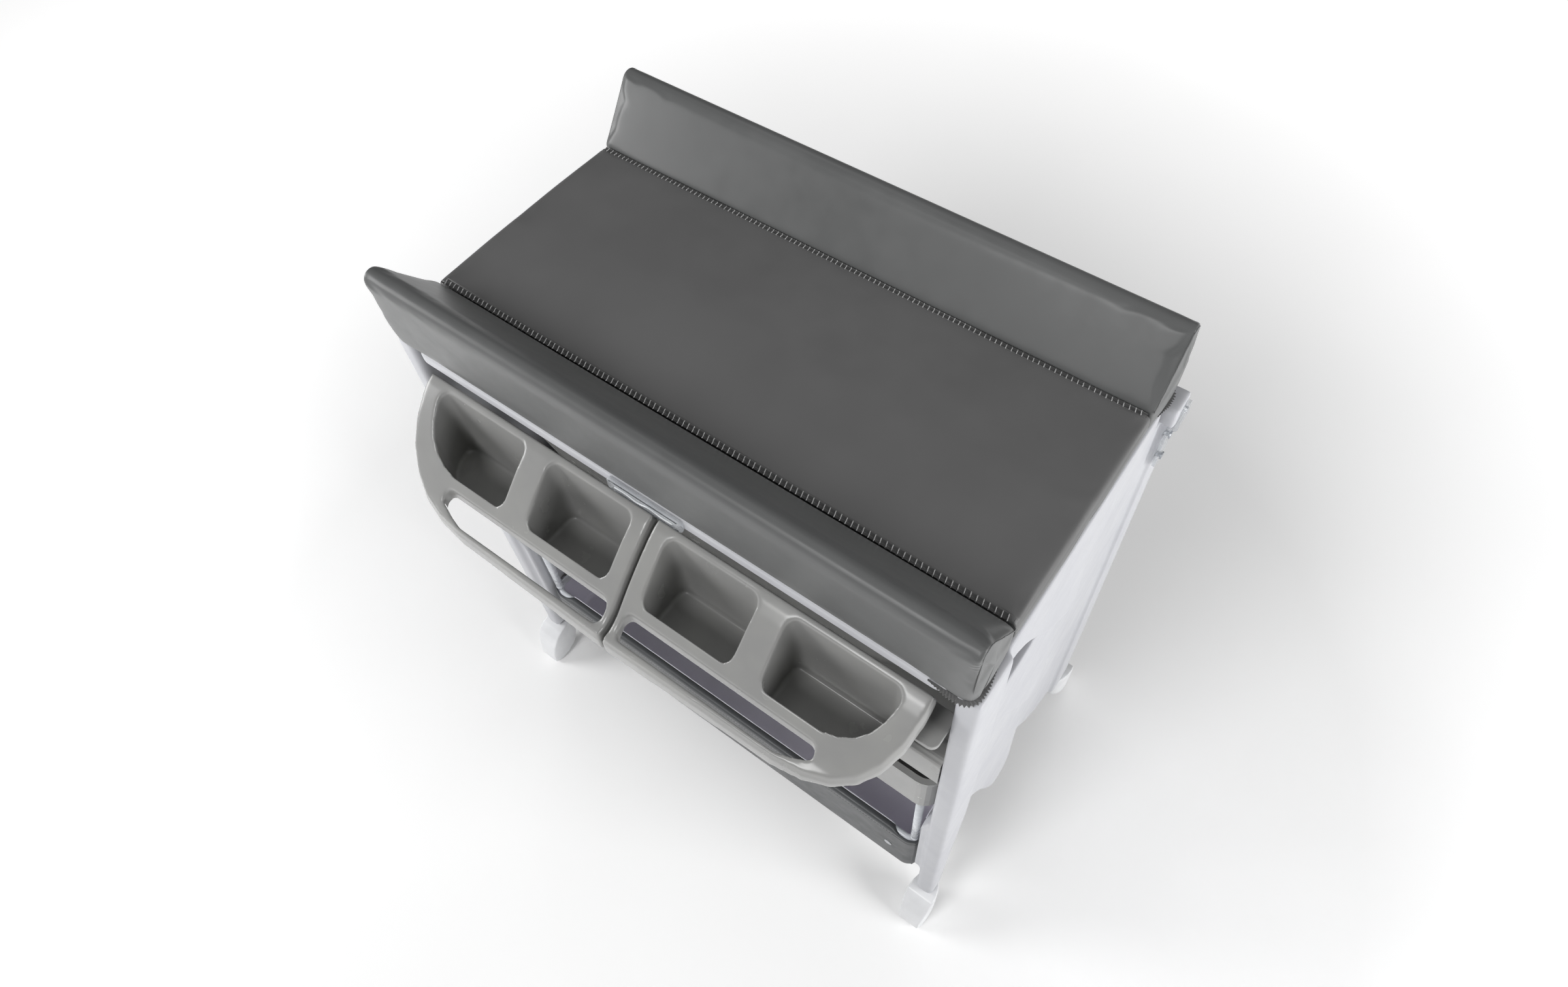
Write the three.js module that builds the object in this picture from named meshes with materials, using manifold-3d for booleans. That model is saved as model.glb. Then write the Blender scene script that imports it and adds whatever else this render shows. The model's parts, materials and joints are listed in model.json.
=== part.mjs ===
// Changing table with bathtub: two moulded side panels on castors carry a lift-up changing
// top over a bath, two swing-out trays in front, a moulded shelf and a hanging basket.
// Millimetres. +X along the front to the right, +Y to the back, +Z up. The pieces are drawn
// about the middle of the mat; the finished table stands with its footprint's middle at the origin.
import * as THREE from 'three';
import { mergeVertices } from 'three/addons/utils/BufferGeometryUtils.js';
import Module from 'manifold-3d';

const wasm = await Module();
wasm.setup();

// Fits and cutting
const fit = 0.3; // clearance between pieces that are separate on the bench
const overrun = 4; // how far a cutter runs past the face it cuts
const weld = 0.0001;

// Side panels: one blow moulding each, with the front leg, the rear leg and four lobes
const side = {
  halfWidth: 409, halfDepth: 225, thickness: 29, topZ: 880, footZ: 88, round: 7, webInset: 8,
};
const frontLeg = { depth: 68, footDepth: 34, taper: 284, padStand: 11.4 };
const frontPad = { rise: 90, height: 194, rampHeight: 46, depth: 44 };
const rearLeg = { over: 33, footOver: 3, footDepth: 60, capDrop: 38, notchGap: 6, neck: 42 };
const handHole = { drop: 142, span: 118, height: 108 };
const lobe = { thickness: 14, sink: 3, root: 24, round: 3 };
// Four lobes laid over each other like scales: how far their top and the foot of their tip lie
// below the top of the panel, how far the tip stands behind the front leg, how far the
// underside climbs towards it, width and lift of the tip
const lobes = [
  { topDrop: 1, tipDrop: 122, reach: 268, rise: 112, tip: 60, lift: -5 },
  { topDrop: 20, tipDrop: 232, reach: 210, rise: 178, tip: 26, lift: 0 },
  { topDrop: 142, tipDrop: 425, reach: 182, rise: 172, tip: 44, lift: 0 },
  { topDrop: 280, tipDrop: 708, reach: 150, rise: 182, tip: 46, lift: 0 },
];
// Rear edge of the rear leg from foot to cap, as shares of its height and of its lean
const rearEdgeShares = [[0, 0], [0.1, 0.06], [0.24, 0.27], [0.48, 0.53], [0.68, 0.8], [0.84, 0.97], [1, 1]];
// Arch between the legs, as shares from the rear foot's inner corner to the third lobe
const archShares = [[0, 0], [0.1, 0.02], [0.3, 0.16], [0.55, 0.42], [0.78, 0.72], [1, 1]];

// Cross members and what stands on them
const beam = { height: 76, depth: 32, setback: 3, drop: 255, round: 12 };
const shelf = { setback: 12, drop: 468, height: 112, wall: 3, lip: 5, lipHeight: 7, corner: 26, taper: 6 };
const post = { radius: 6, inset: 12.5 };
const ring = { radius: 5, corner: 17, sides: 8 };
const basket = { setback: 12, rise: 16, height: 134, wall: 2.6, corner: 24, hem: 15, belly: 6 };
const snap = { radius: 6.4, thickness: 1.8, inset: 48, rise: 64 };

// Bath
const bath = {
  drop: 25, rimThickness: 3, sideGap: 6, frontGap: 15, rimCorner: 40,
  flangeX: 26, flangeY: 20, bowlCorner: 92, depth: 212, wall: 3,
  slopeX: 96, slopeY: 72, floorCorner: 78, lean: 26,
};
const bathSeat = { x: 70, halfX: 78, halfY: 96, height: 52 };
const bathDrain = { inset: 102, radius: 17, plugTop: 21, plugHeight: 12, plugCap: 3.4, knob: 6 };
const rail = { width: 12, height: 12, endGap: 14, round: 3 };

// Changing top
const board = { sideGap: 9, frontOver: 1, rearOver: 3, stand: 2, thickness: 20, corner: 14, round: 3 };
const boardGroove = { count: 5, width: 12, depth: 4, endMargin: 46 };
const arm = { proud: 8, depth: 38, drop: 14, round: 4, over: 14, tab: 28, pinInset: 4 };
const hinge = { radius: 4, setback: 3, rise: 2 };
const strap = { thickness: 4, width: 32, length: 86, bendDrop: 8, radius: 13 };
const screw = { radius: 3.2, head: 5.4, headHeight: 2, length: 9, drop: 24, pitch: 44 };
const latch = { length: 106, height: 21, thickness: 3, x: -6, drop: 0.4, corner: 5, rib: 2.2 };
const mat = { length: 800, padHeight: 37.7, padHalf: 150, wedge: 83, wedgeHeight: 122, crown: 4, pinch: 7 };

// Trays: two mirrored halves that swing out on a pin at their outer rear corner
const tray = {
  split: 1.2, sideGap: 18, setback: 4, depth: 124.5, rearDrop: 34, fall: 98, wall: 3,
  sideRun: 20, sweepRun: 126, skirtRear: 20, skirtFront: 40, pocketDepth: 126, ledge: 2, ledgeDrop: 8,
};
const pocketGap = { rear: 11, front: 46.5, draft: 3 };
const innerPocket = { x0: 25, width: 128, corner: 13 };
const outerPocket = { rib: 37, endGap: 29, corner: 13, sweep: 62 };
const slot = { x0: 13, endGap: 85, bar: 10.5, width: 27, taper: 8, wall: 2.6 };
const trayPin = { inset: 17, radius: 4, boss: 8.6, lug: 8, lugDrop: 78, reach: 10, insertion: 40 };
// Fall of the tray top from back to front, as shares of its depth and of its fall
const fallShares = [
  [-0.05, -0.01], [0, 0.01], [0.11, 0.07], [0.24, 0.2], [0.41, 0.4], [0.58, 0.62], [0.73, 0.84],
  [0.83, 0.95], [0.91, 1], [0.96, 1], [1, 1.02], [1.05, 1.1],
];

// Castors
const castor = { stemInset: 17, rearInset: 22, clearTop: 1.4 };
const hood = { nose: 54, noseHalf: 17, halfWidth: 23.5, tail: 15, flat: 9, baseZ: 4, tailZ: 30, lap: 15 };
const wheel = { radius: 26, width: 21, offset: 23, clear: 2, hub: 11, dish: 3, tread: 4 };
const axle = { radius: 3, halfLength: 19.4 };
const stem = { radius: 5, up: 26, collar: 9.5 };
const brake = {
  pivot: 27, pivotZ: 68, barrel: 3.6, halfWidth: 8, reach: 33, thickness: 4, stub: 1.8, stubOut: 2.6, room: 6,
};

// Facet counts
const fine = 20;
const coarse = 12;
const wheelSides = 14;
const arcSteps = 3;
const wellSteps = 5;
const sweepSteps = 6;
const hoodSteps = 5;
const roundSteps = 2;
const fallSteps = 16;

// Derived places
const legFaceY = -side.halfDepth;
const panelInner = side.halfWidth - side.thickness;
const spanHalf = panelInner - fit; // half length of what seats between the panels
const columnRear = legFaceY + frontLeg.depth;
const rearTopY = side.halfDepth + rearLeg.over;
const rearFootY = side.halfDepth + rearLeg.footOver;
const capZ = side.topZ - rearLeg.capDrop;

const shelfLow = side.topZ - shelf.drop;
const shelfTop = shelfLow + shelf.height;
const basketHalfX = panelInner - frontLeg.padStand - 2 * fit;
const basketHalfY = side.halfDepth - basket.setback;
const basketLow = side.footZ + basket.rise;
const basketTop = basketLow + basket.height;
const ringX = basketHalfX - basket.wall - fit - ring.radius;
const ringY = basketHalfY - basket.wall - fit - ring.radius;
const ringZ = basketTop - basket.wall - fit - ring.radius;
const postX = basketHalfX - post.inset;
const postY = basketHalfY - post.inset;

const rimZ = side.topZ - bath.drop;
const rimHalfX = panelInner - bath.sideGap;
const rimHalfY = side.halfDepth - bath.frontGap;
const bowlHalfX = rimHalfX - bath.flangeX;
const bowlHalfY = rimHalfY - bath.flangeY;
const bathFloorX = bowlHalfX - bath.slopeX;
const bathFloorY = bowlHalfY - bath.slopeY;
const bathFloor = rimZ - bath.depth; // outside of the bath's floor
const drainX = bathDrain.inset - bathFloorX;
const railTop = rimZ - bath.rimThickness - fit;

const boardTop = side.topZ + board.stand;
const boardLow = boardTop - board.thickness;
const boardHalfX = panelInner - board.sideGap;
const boardFrontY = -side.halfDepth - board.frontOver;
const boardRearY = side.halfDepth + board.rearOver;
const matLow = boardTop + fit;
const hingeY = side.halfDepth - hinge.setback;
const hingeZ = boardLow + hinge.rise;
const armRearY = hingeY + arm.over;
const armOuter = side.halfWidth + arm.proud;
const armInner = panelInner; // inner face of a hinge arm, in line with the side panel
const armNotchY = armRearY - arm.depth - rearLeg.notchGap;
const pinStart = armInner + arm.pinInset; // inner end of a hinge pin
const strapInner = side.halfWidth + fit; // inner face of the strap on the panel
const strapHead = armOuter + fit; // inner face of its head outside the arm
const strapBend = capZ - strap.bendDrop;
const strapLow = strapBend - strap.length;

const trayHalfX = panelInner - tray.sideGap;
const trayRear = tray.setback - side.halfDepth;
const trayFront = trayRear - tray.depth;
const trayTop = side.topZ - tray.rearDrop;
const skirtLow = trayTop - tray.fall - tray.skirtFront;
const pinX = trayHalfX - trayPin.inset;
const pinY = trayRear - trayPin.inset;
const lugZ = trayTop - trayPin.lugDrop;

// Materials
const finishes = {
  whitePlastic: new THREE.MeshStandardMaterial({ color: 0xe4e4e8, roughness: 0.42, metalness: 0 }),
  greyPlastic: new THREE.MeshStandardMaterial({ color: 0x9a9a97, roughness: 0.38, metalness: 0 }),
  clearPlastic: new THREE.MeshStandardMaterial({ color: 0xcfd4da, roughness: 0.12, metalness: 0 }),
  castorPlastic: new THREE.MeshStandardMaterial({ color: 0xd2d3d6, roughness: 0.35, metalness: 0 }),
  tyre: new THREE.MeshStandardMaterial({ color: 0x77797c, roughness: 0.7, metalness: 0 }),
  whiteSteel: new THREE.MeshStandardMaterial({ color: 0xd6dade, roughness: 0.3, metalness: 0.1 }),
  zincSteel: new THREE.MeshStandardMaterial({ color: 0xa8abb0, roughness: 0.35, metalness: 0.9 }),
  paddedVinyl: new THREE.MeshStandardMaterial({ color: 0x585858, roughness: 0.5, metalness: 0 }),
  wedgeVinyl: new THREE.MeshStandardMaterial({ color: 0x6e7270, roughness: 0.5, metalness: 0 }),
  basketVinyl: new THREE.MeshStandardMaterial({ color: 0x6d6f70, roughness: 0.6, metalness: 0 }),
};

// Solids from three.js geometry, joined and cut as manifolds

function solid(geometry) {
  const bare = geometry.clone();
  for (const name of Object.keys(bare.attributes)) {
    if (name !== 'position') bare.deleteAttribute(name);
  }
  const merged = mergeVertices(bare, weld);
  return new wasm.Manifold(new wasm.Mesh({
    numProp: 3,
    vertProperties: Float32Array.from(merged.attributes.position.array),
    triVerts: Uint32Array.from(merged.index.array),
  }));
}

function geometryOf(body) {
  const { vertProperties, triVerts } = body.getMesh();
  const geometry = new THREE.BufferGeometry();
  geometry.setAttribute('position', new THREE.BufferAttribute(Float32Array.from(vertProperties), 3));
  geometry.setIndex(new THREE.BufferAttribute(Uint32Array.from(triVerts), 1));
  geometry.computeVertexNormals();
  return geometry;
}

const join = (bodies) => bodies.reduce((whole, body) => whole.add(body));
const cut = (body, cutters) => cutters.reduce((rest, cutter) => rest.subtract(cutter), body);

// An outline given depth, with its long edges rounded and its outer size kept
function extruded(shape, depth, round, curveSegments = arcSteps) {
  const geometry = new THREE.ExtrudeGeometry(shape, {
    depth: depth - 2 * round,
    bevelEnabled: round > 0,
    bevelSize: round,
    bevelThickness: round,
    bevelOffset: -round,
    bevelSegments: roundSteps,
    curveSegments,
    steps: 1,
  });
  return geometry.translate(0, 0, round);
}

const axisX = new THREE.Vector3(1, 0, 0);
const axisY = new THREE.Vector3(0, 1, 0);
const axisZ = new THREE.Vector3(0, 0, 1);

// Outline in plan (X, Y), raised from z0 to z1
function upSlab(shape, z0, z1, round = 0, steps = arcSteps) {
  return extruded(shape, z1 - z0, round, steps).translate(0, 0, z0);
}

// Outline seen from the side (Y, Z), taken across from x0 to x1
function acrossSlab(shape, x0, x1, round = 0, steps = arcSteps) {
  const turn = new THREE.Matrix4().makeBasis(axisY, axisZ, axisX);
  return extruded(shape, x1 - x0, round, steps).applyMatrix4(turn).translate(x0, 0, 0);
}

// Outline seen from behind (-X, Z), taken back from y0 to y1; it is drawn with X to the left
function backSlab(shape, y0, y1, round = 0) {
  const turn = new THREE.Matrix4().makeBasis(axisX.clone().negate(), axisZ, axisY);
  return extruded(shape, y1 - y0, round).applyMatrix4(turn).translate(0, y0, 0);
}

function boxBetween(low, high) {
  const size = high.map((value, i) => value - low[i]);
  const middle = high.map((value, i) => (value + low[i]) / 2);
  return new THREE.BoxGeometry(...size).translate(...middle);
}

function rod(radius, length, axis, sides = coarse) {
  const geometry = new THREE.CylinderGeometry(radius, radius, length, sides);
  if (axis === 'x') geometry.rotateZ(Math.PI / 2);
  if (axis === 'z') geometry.rotateX(Math.PI / 2);
  return geometry;
}

function roundedRect(x0, y0, x1, y1, radius) {
  const r = Math.min(radius, (x1 - x0) / 2, (y1 - y0) / 2);
  const shape = new THREE.Shape();
  shape.absarc(x1 - r, y0 + r, r, -Math.PI / 2, 0);
  shape.absarc(x1 - r, y1 - r, r, 0, Math.PI / 2);
  shape.absarc(x0 + r, y1 - r, r, Math.PI / 2, Math.PI);
  shape.absarc(x0 + r, y0 + r, r, Math.PI, 1.5 * Math.PI);
  shape.closePath();
  return shape;
}

const polygon = (points) => new THREE.Shape(points.map(([x, y]) => new THREE.Vector2(x, y)));

// Skin over rings of equal point count; open runs get flat caps, closed runs join up
function loft(rings, closed = false) {
  const count = rings[0].length;
  const places = rings.flat();
  const faces = [];
  const runs = closed ? rings.length : rings.length - 1;
  for (let i = 0; i < runs; i += 1) {
    const next = (i + 1) % rings.length;
    for (let j = 0; j < count; j += 1) {
      const k = (j + 1) % count;
      faces.push(i * count + j, i * count + k, next * count + k);
      faces.push(i * count + j, next * count + k, next * count + j);
    }
  }
  if (!closed) {
    const last = rings.length - 1;
    for (const [at, flip] of [[0, true], [last, false]]) {
      const middle = rings[at].reduce((sum, p) => sum.add(p), new THREE.Vector3()).divideScalar(count);
      places.push(middle);
      for (let j = 0; j < count; j += 1) {
        const a = at * count + j;
        const b = at * count + ((j + 1) % count);
        faces.push(places.length - 1, flip ? b : a, flip ? a : b);
      }
    }
  }
  const geometry = new THREE.BufferGeometry();
  geometry.setAttribute('position', new THREE.Float32BufferAttribute(places.flatMap((p) => p.toArray()), 3));
  geometry.setIndex(faces);
  return geometry;
}

// A level ring of a rounded rectangle about (x, y)
function levelRing(x, y, z, halfX, halfY, radius) {
  const points = roundedRect(x - halfX, y - halfY, x + halfX, y + halfY, radius).getPoints(arcSteps);
  points.pop();
  return points.map((p) => new THREE.Vector3(p.x, p.y, z));
}

// Side panel, drawn for the right-hand side

// Outline of a lobe: down its rear edge, round the tip, then up under it to the front leg
function lobeOutline({ topDrop, tipDrop, reach, rise, tip }) {
  const topZ = side.topZ - topDrop;
  const tipZ = side.topZ - tipDrop;
  const tipY = columnRear + reach;
  const underZ = tipZ + rise;
  const shape = new THREE.Shape();
  shape.moveTo(columnRear - lobe.root, underZ);
  shape.lineTo(columnRear, underZ);
  shape.bezierCurveTo(
    columnRear + reach * 0.3, tipZ + rise * 0.95,
    columnRear + reach * 0.45, tipZ + rise * 0.3,
    tipY - tip, tipZ + tip / 6,
  );
  shape.quadraticCurveTo(tipY - tip / 8, tipZ - tip / 6, tipY, tipZ + tip);
  shape.quadraticCurveTo(tipY + tip / 8, topZ - rise / 3, tipY - tip / 6, topZ);
  shape.lineTo(columnRear - lobe.root, topZ);
  shape.closePath();
  return shape;
}

// A lobe lies on the panel like a scale: sunk at its top and its front, proud at its tip
function lobeBody(size) {
  const { topDrop, tipDrop, reach, lift } = size;
  const tipZ = side.topZ - tipDrop;
  const proud = side.webInset + lift;
  const tipY = columnRear + reach;
  const shear = new THREE.Matrix4().makeShear(
    0, 0, lobe.sink / reach, 0, -(proud + lobe.sink) / (tipDrop - topDrop), 0,
  );
  const slab = acrossSlab(lobeOutline(size), 0, lobe.thickness, lobe.round, sweepSteps);
  slab.translate(0, -tipY, -tipZ).applyMatrix4(shear);
  slab.translate(side.halfWidth + lift - lobe.thickness, tipY, tipZ);
  return solid(slab);
}

// Full depth of the moulding behind a lobe that hangs clear of the web
function lobeCore(size) {
  const x1 = side.halfWidth - side.webInset;
  return solid(acrossSlab(lobeOutline(size), panelInner, x1, lobe.round, sweepSteps));
}

function frontLegOutline() {
  const backFoot = legFaceY + frontLeg.footDepth;
  const shape = new THREE.Shape();
  shape.moveTo(legFaceY, side.footZ);
  shape.lineTo(backFoot, side.footZ);
  shape.quadraticCurveTo(
    backFoot + frontLeg.footDepth / 3, side.footZ + frontLeg.taper / 2,
    columnRear - lobe.round, side.footZ + frontLeg.taper,
  );
  shape.lineTo(columnRear, side.topZ);
  shape.lineTo(legFaceY, side.topZ);
  shape.closePath();
  return shape;
}

// Points down the rear edge of the rear leg
function rearEdge() {
  const legHeight = capZ - side.footZ;
  const lean = rearTopY - rearFootY;
  return rearEdgeShares.map(([up, out]) => [rearFootY + out * lean, side.footZ + up * legHeight]);
}

// The web between the legs: arched below, stepped down behind for the hinge arm
function webOutline() {
  const innerFoot = rearFootY - rearLeg.footDepth;
  const lowest = lobes[lobes.length - 1];
  const archY = columnRear + lowest.reach - lowest.tip / 2;
  const archZ = side.topZ - lowest.tipDrop + lowest.rise - lowest.tip / 2;
  const rootY = legFaceY + frontLeg.depth / 2;
  const arch = archShares.map(([along, up]) => [
    innerFoot + along * (archY - innerFoot), side.footZ + up * (archZ - side.footZ),
  ]).reverse();
  return polygon([
    [rootY, side.topZ], [rootY, archZ + lowest.tip / 2], ...arch, ...rearEdge(),
    [armNotchY + side.round, capZ], [armNotchY, side.topZ],
  ]);
}

// The rear leg stands out to the panel's full depth along the rear edge
function rearLegOutline() {
  const narrow = rearLeg.footDepth - rearLeg.neck;
  const inner = rearEdge().map(([y, z], i, all) => [
    y - rearLeg.footDepth + (narrow * i) / (all.length - 1), z,
  ]).reverse();
  return polygon([...rearEdge(), ...inner]);
}

// Pad on the inner face of the front leg that the basket frame stands against
function frontPadBody() {
  const x0 = panelInner - frontLeg.padStand;
  const rampX = panelInner + overrun;
  const lowZ = side.footZ + frontPad.rise;
  const highZ = lowZ + frontPad.height;
  const outline = polygon([
    [-rampX, lowZ], [-x0, lowZ], [-x0, highZ],
    [-panelInner, highZ + frontPad.rampHeight], [-rampX, highZ + frontPad.rampHeight],
  ].reverse());
  const y0 = legFaceY + side.round;
  return solid(backSlab(outline, y0, y0 + frontPad.depth));
}

// Where the castor stands under a leg
const stemAt = {
  front: legFaceY + castor.stemInset,
  rear: rearFootY - castor.rearInset,
};
const stemX = side.halfWidth - side.thickness / 2;

function sidePanel() {
  const x0 = panelInner;
  const x1 = side.halfWidth;
  const webX = x1 - side.webInset;
  const web = solid(acrossSlab(webOutline(), x0, webX, side.round / 2));
  const holeLow = side.topZ - handHole.drop;
  const hole = solid(boxBetween(
    [x0 - overrun, columnRear - lobe.round, holeLow],
    [x1 + overrun, columnRear - lobe.round + handHole.span, holeLow + handHole.height],
  ));
  const [, hung, , lowest] = lobes;
  const panel = join([
    web.subtract(hole),
    solid(acrossSlab(frontLegOutline(), x0, x1, side.round, sweepSteps)),
    solid(acrossSlab(rearLegOutline(), x0, x1, side.round)),
    ...lobes.map(lobeBody),
    lobeCore(hung),
    lobeCore(lowest),
    frontPadBody(),
  ]);
  const stemBores = [stemAt.front, stemAt.rear].map((y) => solid(
    rod(stem.radius + fit, stem.up, 'z').translate(stemX, y, side.footZ + stem.up / 2 - overrun),
  ));
  const screwBores = screwLevels().map((z) => solid(
    rod(screw.radius + fit, screw.length * 2, 'x').translate(side.halfWidth, hingeY, z),
  ));
  const armNotch = boxBetween(
    [x0 - overrun, armNotchY, capZ],
    [x1 + overrun, rearTopY + overrun, side.topZ + overrun],
  );
  return cut(panel, [...stemBores, ...screwBores, solid(armNotch)]);
}

// Cross beams, shelf, posts and basket

// The front beam; the rear one is its mirror image
function crossBeam() {
  const y0 = legFaceY + beam.setback;
  const z0 = side.topZ - beam.drop - beam.height / 2;
  const shape = roundedRect(y0, z0, y0 + beam.depth, z0 + beam.height, beam.round);
  return solid(acrossSlab(shape, -spanHalf, spanHalf));
}

function shelfBody() {
  const halfY = side.halfDepth - shelf.setback;
  const { corner, wall, taper, lip, lipHeight } = shelf;
  const floor = shelfLow + wall;
  const outer = loft([
    levelRing(0, 0, shelfLow, spanHalf - lip - taper, halfY - taper - lip, corner),
    levelRing(0, 0, shelfLow + taper, spanHalf - lip, halfY - lip, corner),
    levelRing(0, 0, shelfTop, spanHalf - lip, halfY - lip, corner),
  ]);
  const rim = loft([
    levelRing(0, 0, shelfTop - lipHeight, spanHalf, halfY, corner + lip),
    levelRing(0, 0, shelfTop, spanHalf, halfY, corner + lip),
  ]);
  const hollow = loft([
    levelRing(0, 0, floor, spanHalf - lip - taper - wall, halfY - taper - lip - wall, corner - wall),
    levelRing(0, 0, floor + taper, spanHalf - lip - wall, halfY - lip - wall, corner - wall),
    levelRing(0, 0, shelfTop + overrun, spanHalf - lip - wall, halfY - lip - wall, corner - wall),
  ]);
  return cut(solid(outer).add(solid(rim)), [solid(hollow)]);
}

function postBody() {
  const low = ringZ + ring.radius + fit;
  const high = shelfLow - fit;
  return solid(rod(post.radius, high - low, 'z').translate(postX, -postY, (low + high) / 2));
}

function basketRing() {
  const path = levelRing(0, 0, ringZ, ringX, ringY, ring.corner);
  const rings = path.map((point, i) => {
    const before = path[(i + path.length - 1) % path.length];
    const after = path[(i + 1) % path.length];
    const ahead = after.clone().sub(before).normalize();
    const out = new THREE.Vector3().crossVectors(ahead, axisZ);
    return Array.from({ length: ring.sides }, (_, j) => {
      const angle = (2 * Math.PI * j) / ring.sides;
      return point.clone()
        .addScaledVector(out, ring.radius * Math.cos(angle))
        .addScaledVector(axisZ, -ring.radius * Math.sin(angle));
    });
  });
  return solid(loft(rings, true));
}

// Open basket: a hem folded in over the ring, sides that belly out between corners
function basketBody() {
  const { wall, corner, hem, belly } = basket;
  const skin = (inset, low, high) => {
    const stations = [[low, belly], [low + belly, belly / 3], [(low + high) / 2, 0], [high, 0]];
    return loft(stations.map(([z, draw]) => levelRing(
      0, 0, z, basketHalfX - draw - inset, basketHalfY - draw - inset, corner - inset,
    )));
  };
  const outer = solid(skin(0, basketLow, basketTop));
  const hollow = solid(skin(wall, basketLow + wall, basketTop - wall));
  const mouth = solid(loft([basketTop - wall - fit, basketTop + overrun].map((z) => levelRing(
    0, 0, z, basketHalfX - hem, basketHalfY - hem, corner,
  ))));
  const postHoles = [-1, 1].flatMap((sx) => [-1, 1].map((sy) => solid(
    rod(post.radius + fit, basket.hem * 2, 'z').translate(sx * postX, sy * postY, basketTop),
  )));
  return cut(outer, [hollow, mouth, ...postHoles]);
}

function snapBody() {
  const y = -basketHalfY - fit - snap.thickness / 2;
  const button = rod(snap.radius, snap.thickness, 'y', fine);
  return solid(button.translate(basketHalfX - snap.inset, y, basketLow + snap.rise));
}

// Bath, its rails and its plug

function bathRings(inset, floorZ, topZ) {
  const level = (share) => floorZ + share * (topZ - floorZ);
  // Height of each ring, and how far it has opened from the floor to the rim
  const openShares = [[0, 0], [0.02, 0.2], [0.08, 0.5], [0.2, 0.72], [0.5, 0.88], [1, 1]];
  return openShares.map(([up, open]) => levelRing(
    bath.lean * (1 - open), 0, level(up),
    bathFloorX + open * bath.slopeX - inset,
    bathFloorY + open * bath.slopeY - inset,
    bath.floorCorner + open * (bath.bowlCorner - bath.floorCorner) - inset,
  ));
}

function bathBody() {
  const { rimThickness, rimCorner, wall } = bath;
  const outer = solid(loft(bathRings(0, bathFloor, rimZ)));
  const rim = solid(upSlab(
    roundedRect(-rimHalfX, -rimHalfY, rimHalfX, rimHalfY, rimCorner), rimZ - rimThickness, rimZ,
  ));
  const hollow = solid(loft(bathRings(wall, bathFloor + wall, rimZ + overrun)));
  const seat = new THREE.SphereGeometry(1, fine, coarse);
  seat.scale(bathSeat.halfX, bathSeat.halfY, bathSeat.height).translate(bathSeat.x, 0, bathFloor + wall);
  const seatBody = solid(seat).intersect(outer);
  const drain = solid(rod(bathDrain.radius, overrun * 4, 'z', fine).translate(drainX, 0, bathFloor));
  return cut(outer.add(rim), [hollow]).add(seatBody).subtract(drain);
}

function drainPlug() {
  const { radius, plugTop, plugHeight, plugCap, knob } = bathDrain;
  const seatZ = bathFloor + bath.wall + fit;
  const neck = radius - fit;
  const profile = [
    [0, seatZ - plugHeight], [neck * 0.9, seatZ - plugHeight], [neck, seatZ], [plugTop, seatZ],
    [plugTop, seatZ + plugCap], [knob, seatZ + plugCap], [knob, seatZ + plugCap + knob],
    [0, seatZ + plugCap + knob],
  ].map(([r, z]) => new THREE.Vector2(r, z));
  return solid(new THREE.LatheGeometry(profile, fine).rotateX(Math.PI / 2).translate(drainX, 0, 0));
}

function bathRail() {
  const x1 = spanHalf;
  const shape = roundedRect(-x1, railTop - rail.height, rail.width - x1, railTop, rail.round);
  const halfLength = rimHalfY - rail.endGap;
  return solid(backSlab(shape, -halfLength, halfLength));
}

// Changing top

function boardBody() {
  const { corner, round } = board;
  const plate = solid(upSlab(
    roundedRect(-boardHalfX, boardFrontY, boardHalfX, boardRearY, corner), boardLow, boardTop, round,
  ));
  const pitch = (boardRearY - boardFrontY) / (boardGroove.count + 1);
  const grooves = Array.from({ length: boardGroove.count }, (_, i) => {
    const y = boardFrontY + pitch * (i + 1);
    const end = boardHalfX - boardGroove.endMargin;
    return solid(boxBetween(
      [-end, y - boardGroove.width / 2, boardLow - overrun],
      [end, y + boardGroove.width / 2, boardLow + boardGroove.depth],
    ));
  });
  const arms = [-1, 1].map((sign) => {
    const between = (a, b) => [sign * a, sign * b].sort((one, other) => one - other);
    const armFront = armRearY - arm.depth;
    const block = roundedRect(armFront, boardLow - arm.drop, armRearY, boardTop, arm.round);
    const tab = roundedRect(armFront, boardLow, armRearY, boardTop, round);
    return solid(acrossSlab(block, ...between(armInner, armOuter), arm.round / 2))
      .add(solid(acrossSlab(tab, ...between(boardHalfX - arm.tab, armInner + arm.round))));
  });
  const bores = [-1, 1].map((sign) => {
    const length = armOuter - pinStart + fit + overrun;
    const middle = sign * (pinStart - fit + length / 2);
    return solid(rod(hinge.radius + fit, length, 'x').translate(middle, hingeY, hingeZ));
  });
  return cut(join([plate, ...arms]), [...grooves, ...bores]);
}

function hingePin() {
  const end = strapHead + strap.thickness;
  return solid(rod(hinge.radius, end - pinStart, 'x').translate((pinStart + end) / 2, hingeY, hingeZ));
}

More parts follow.
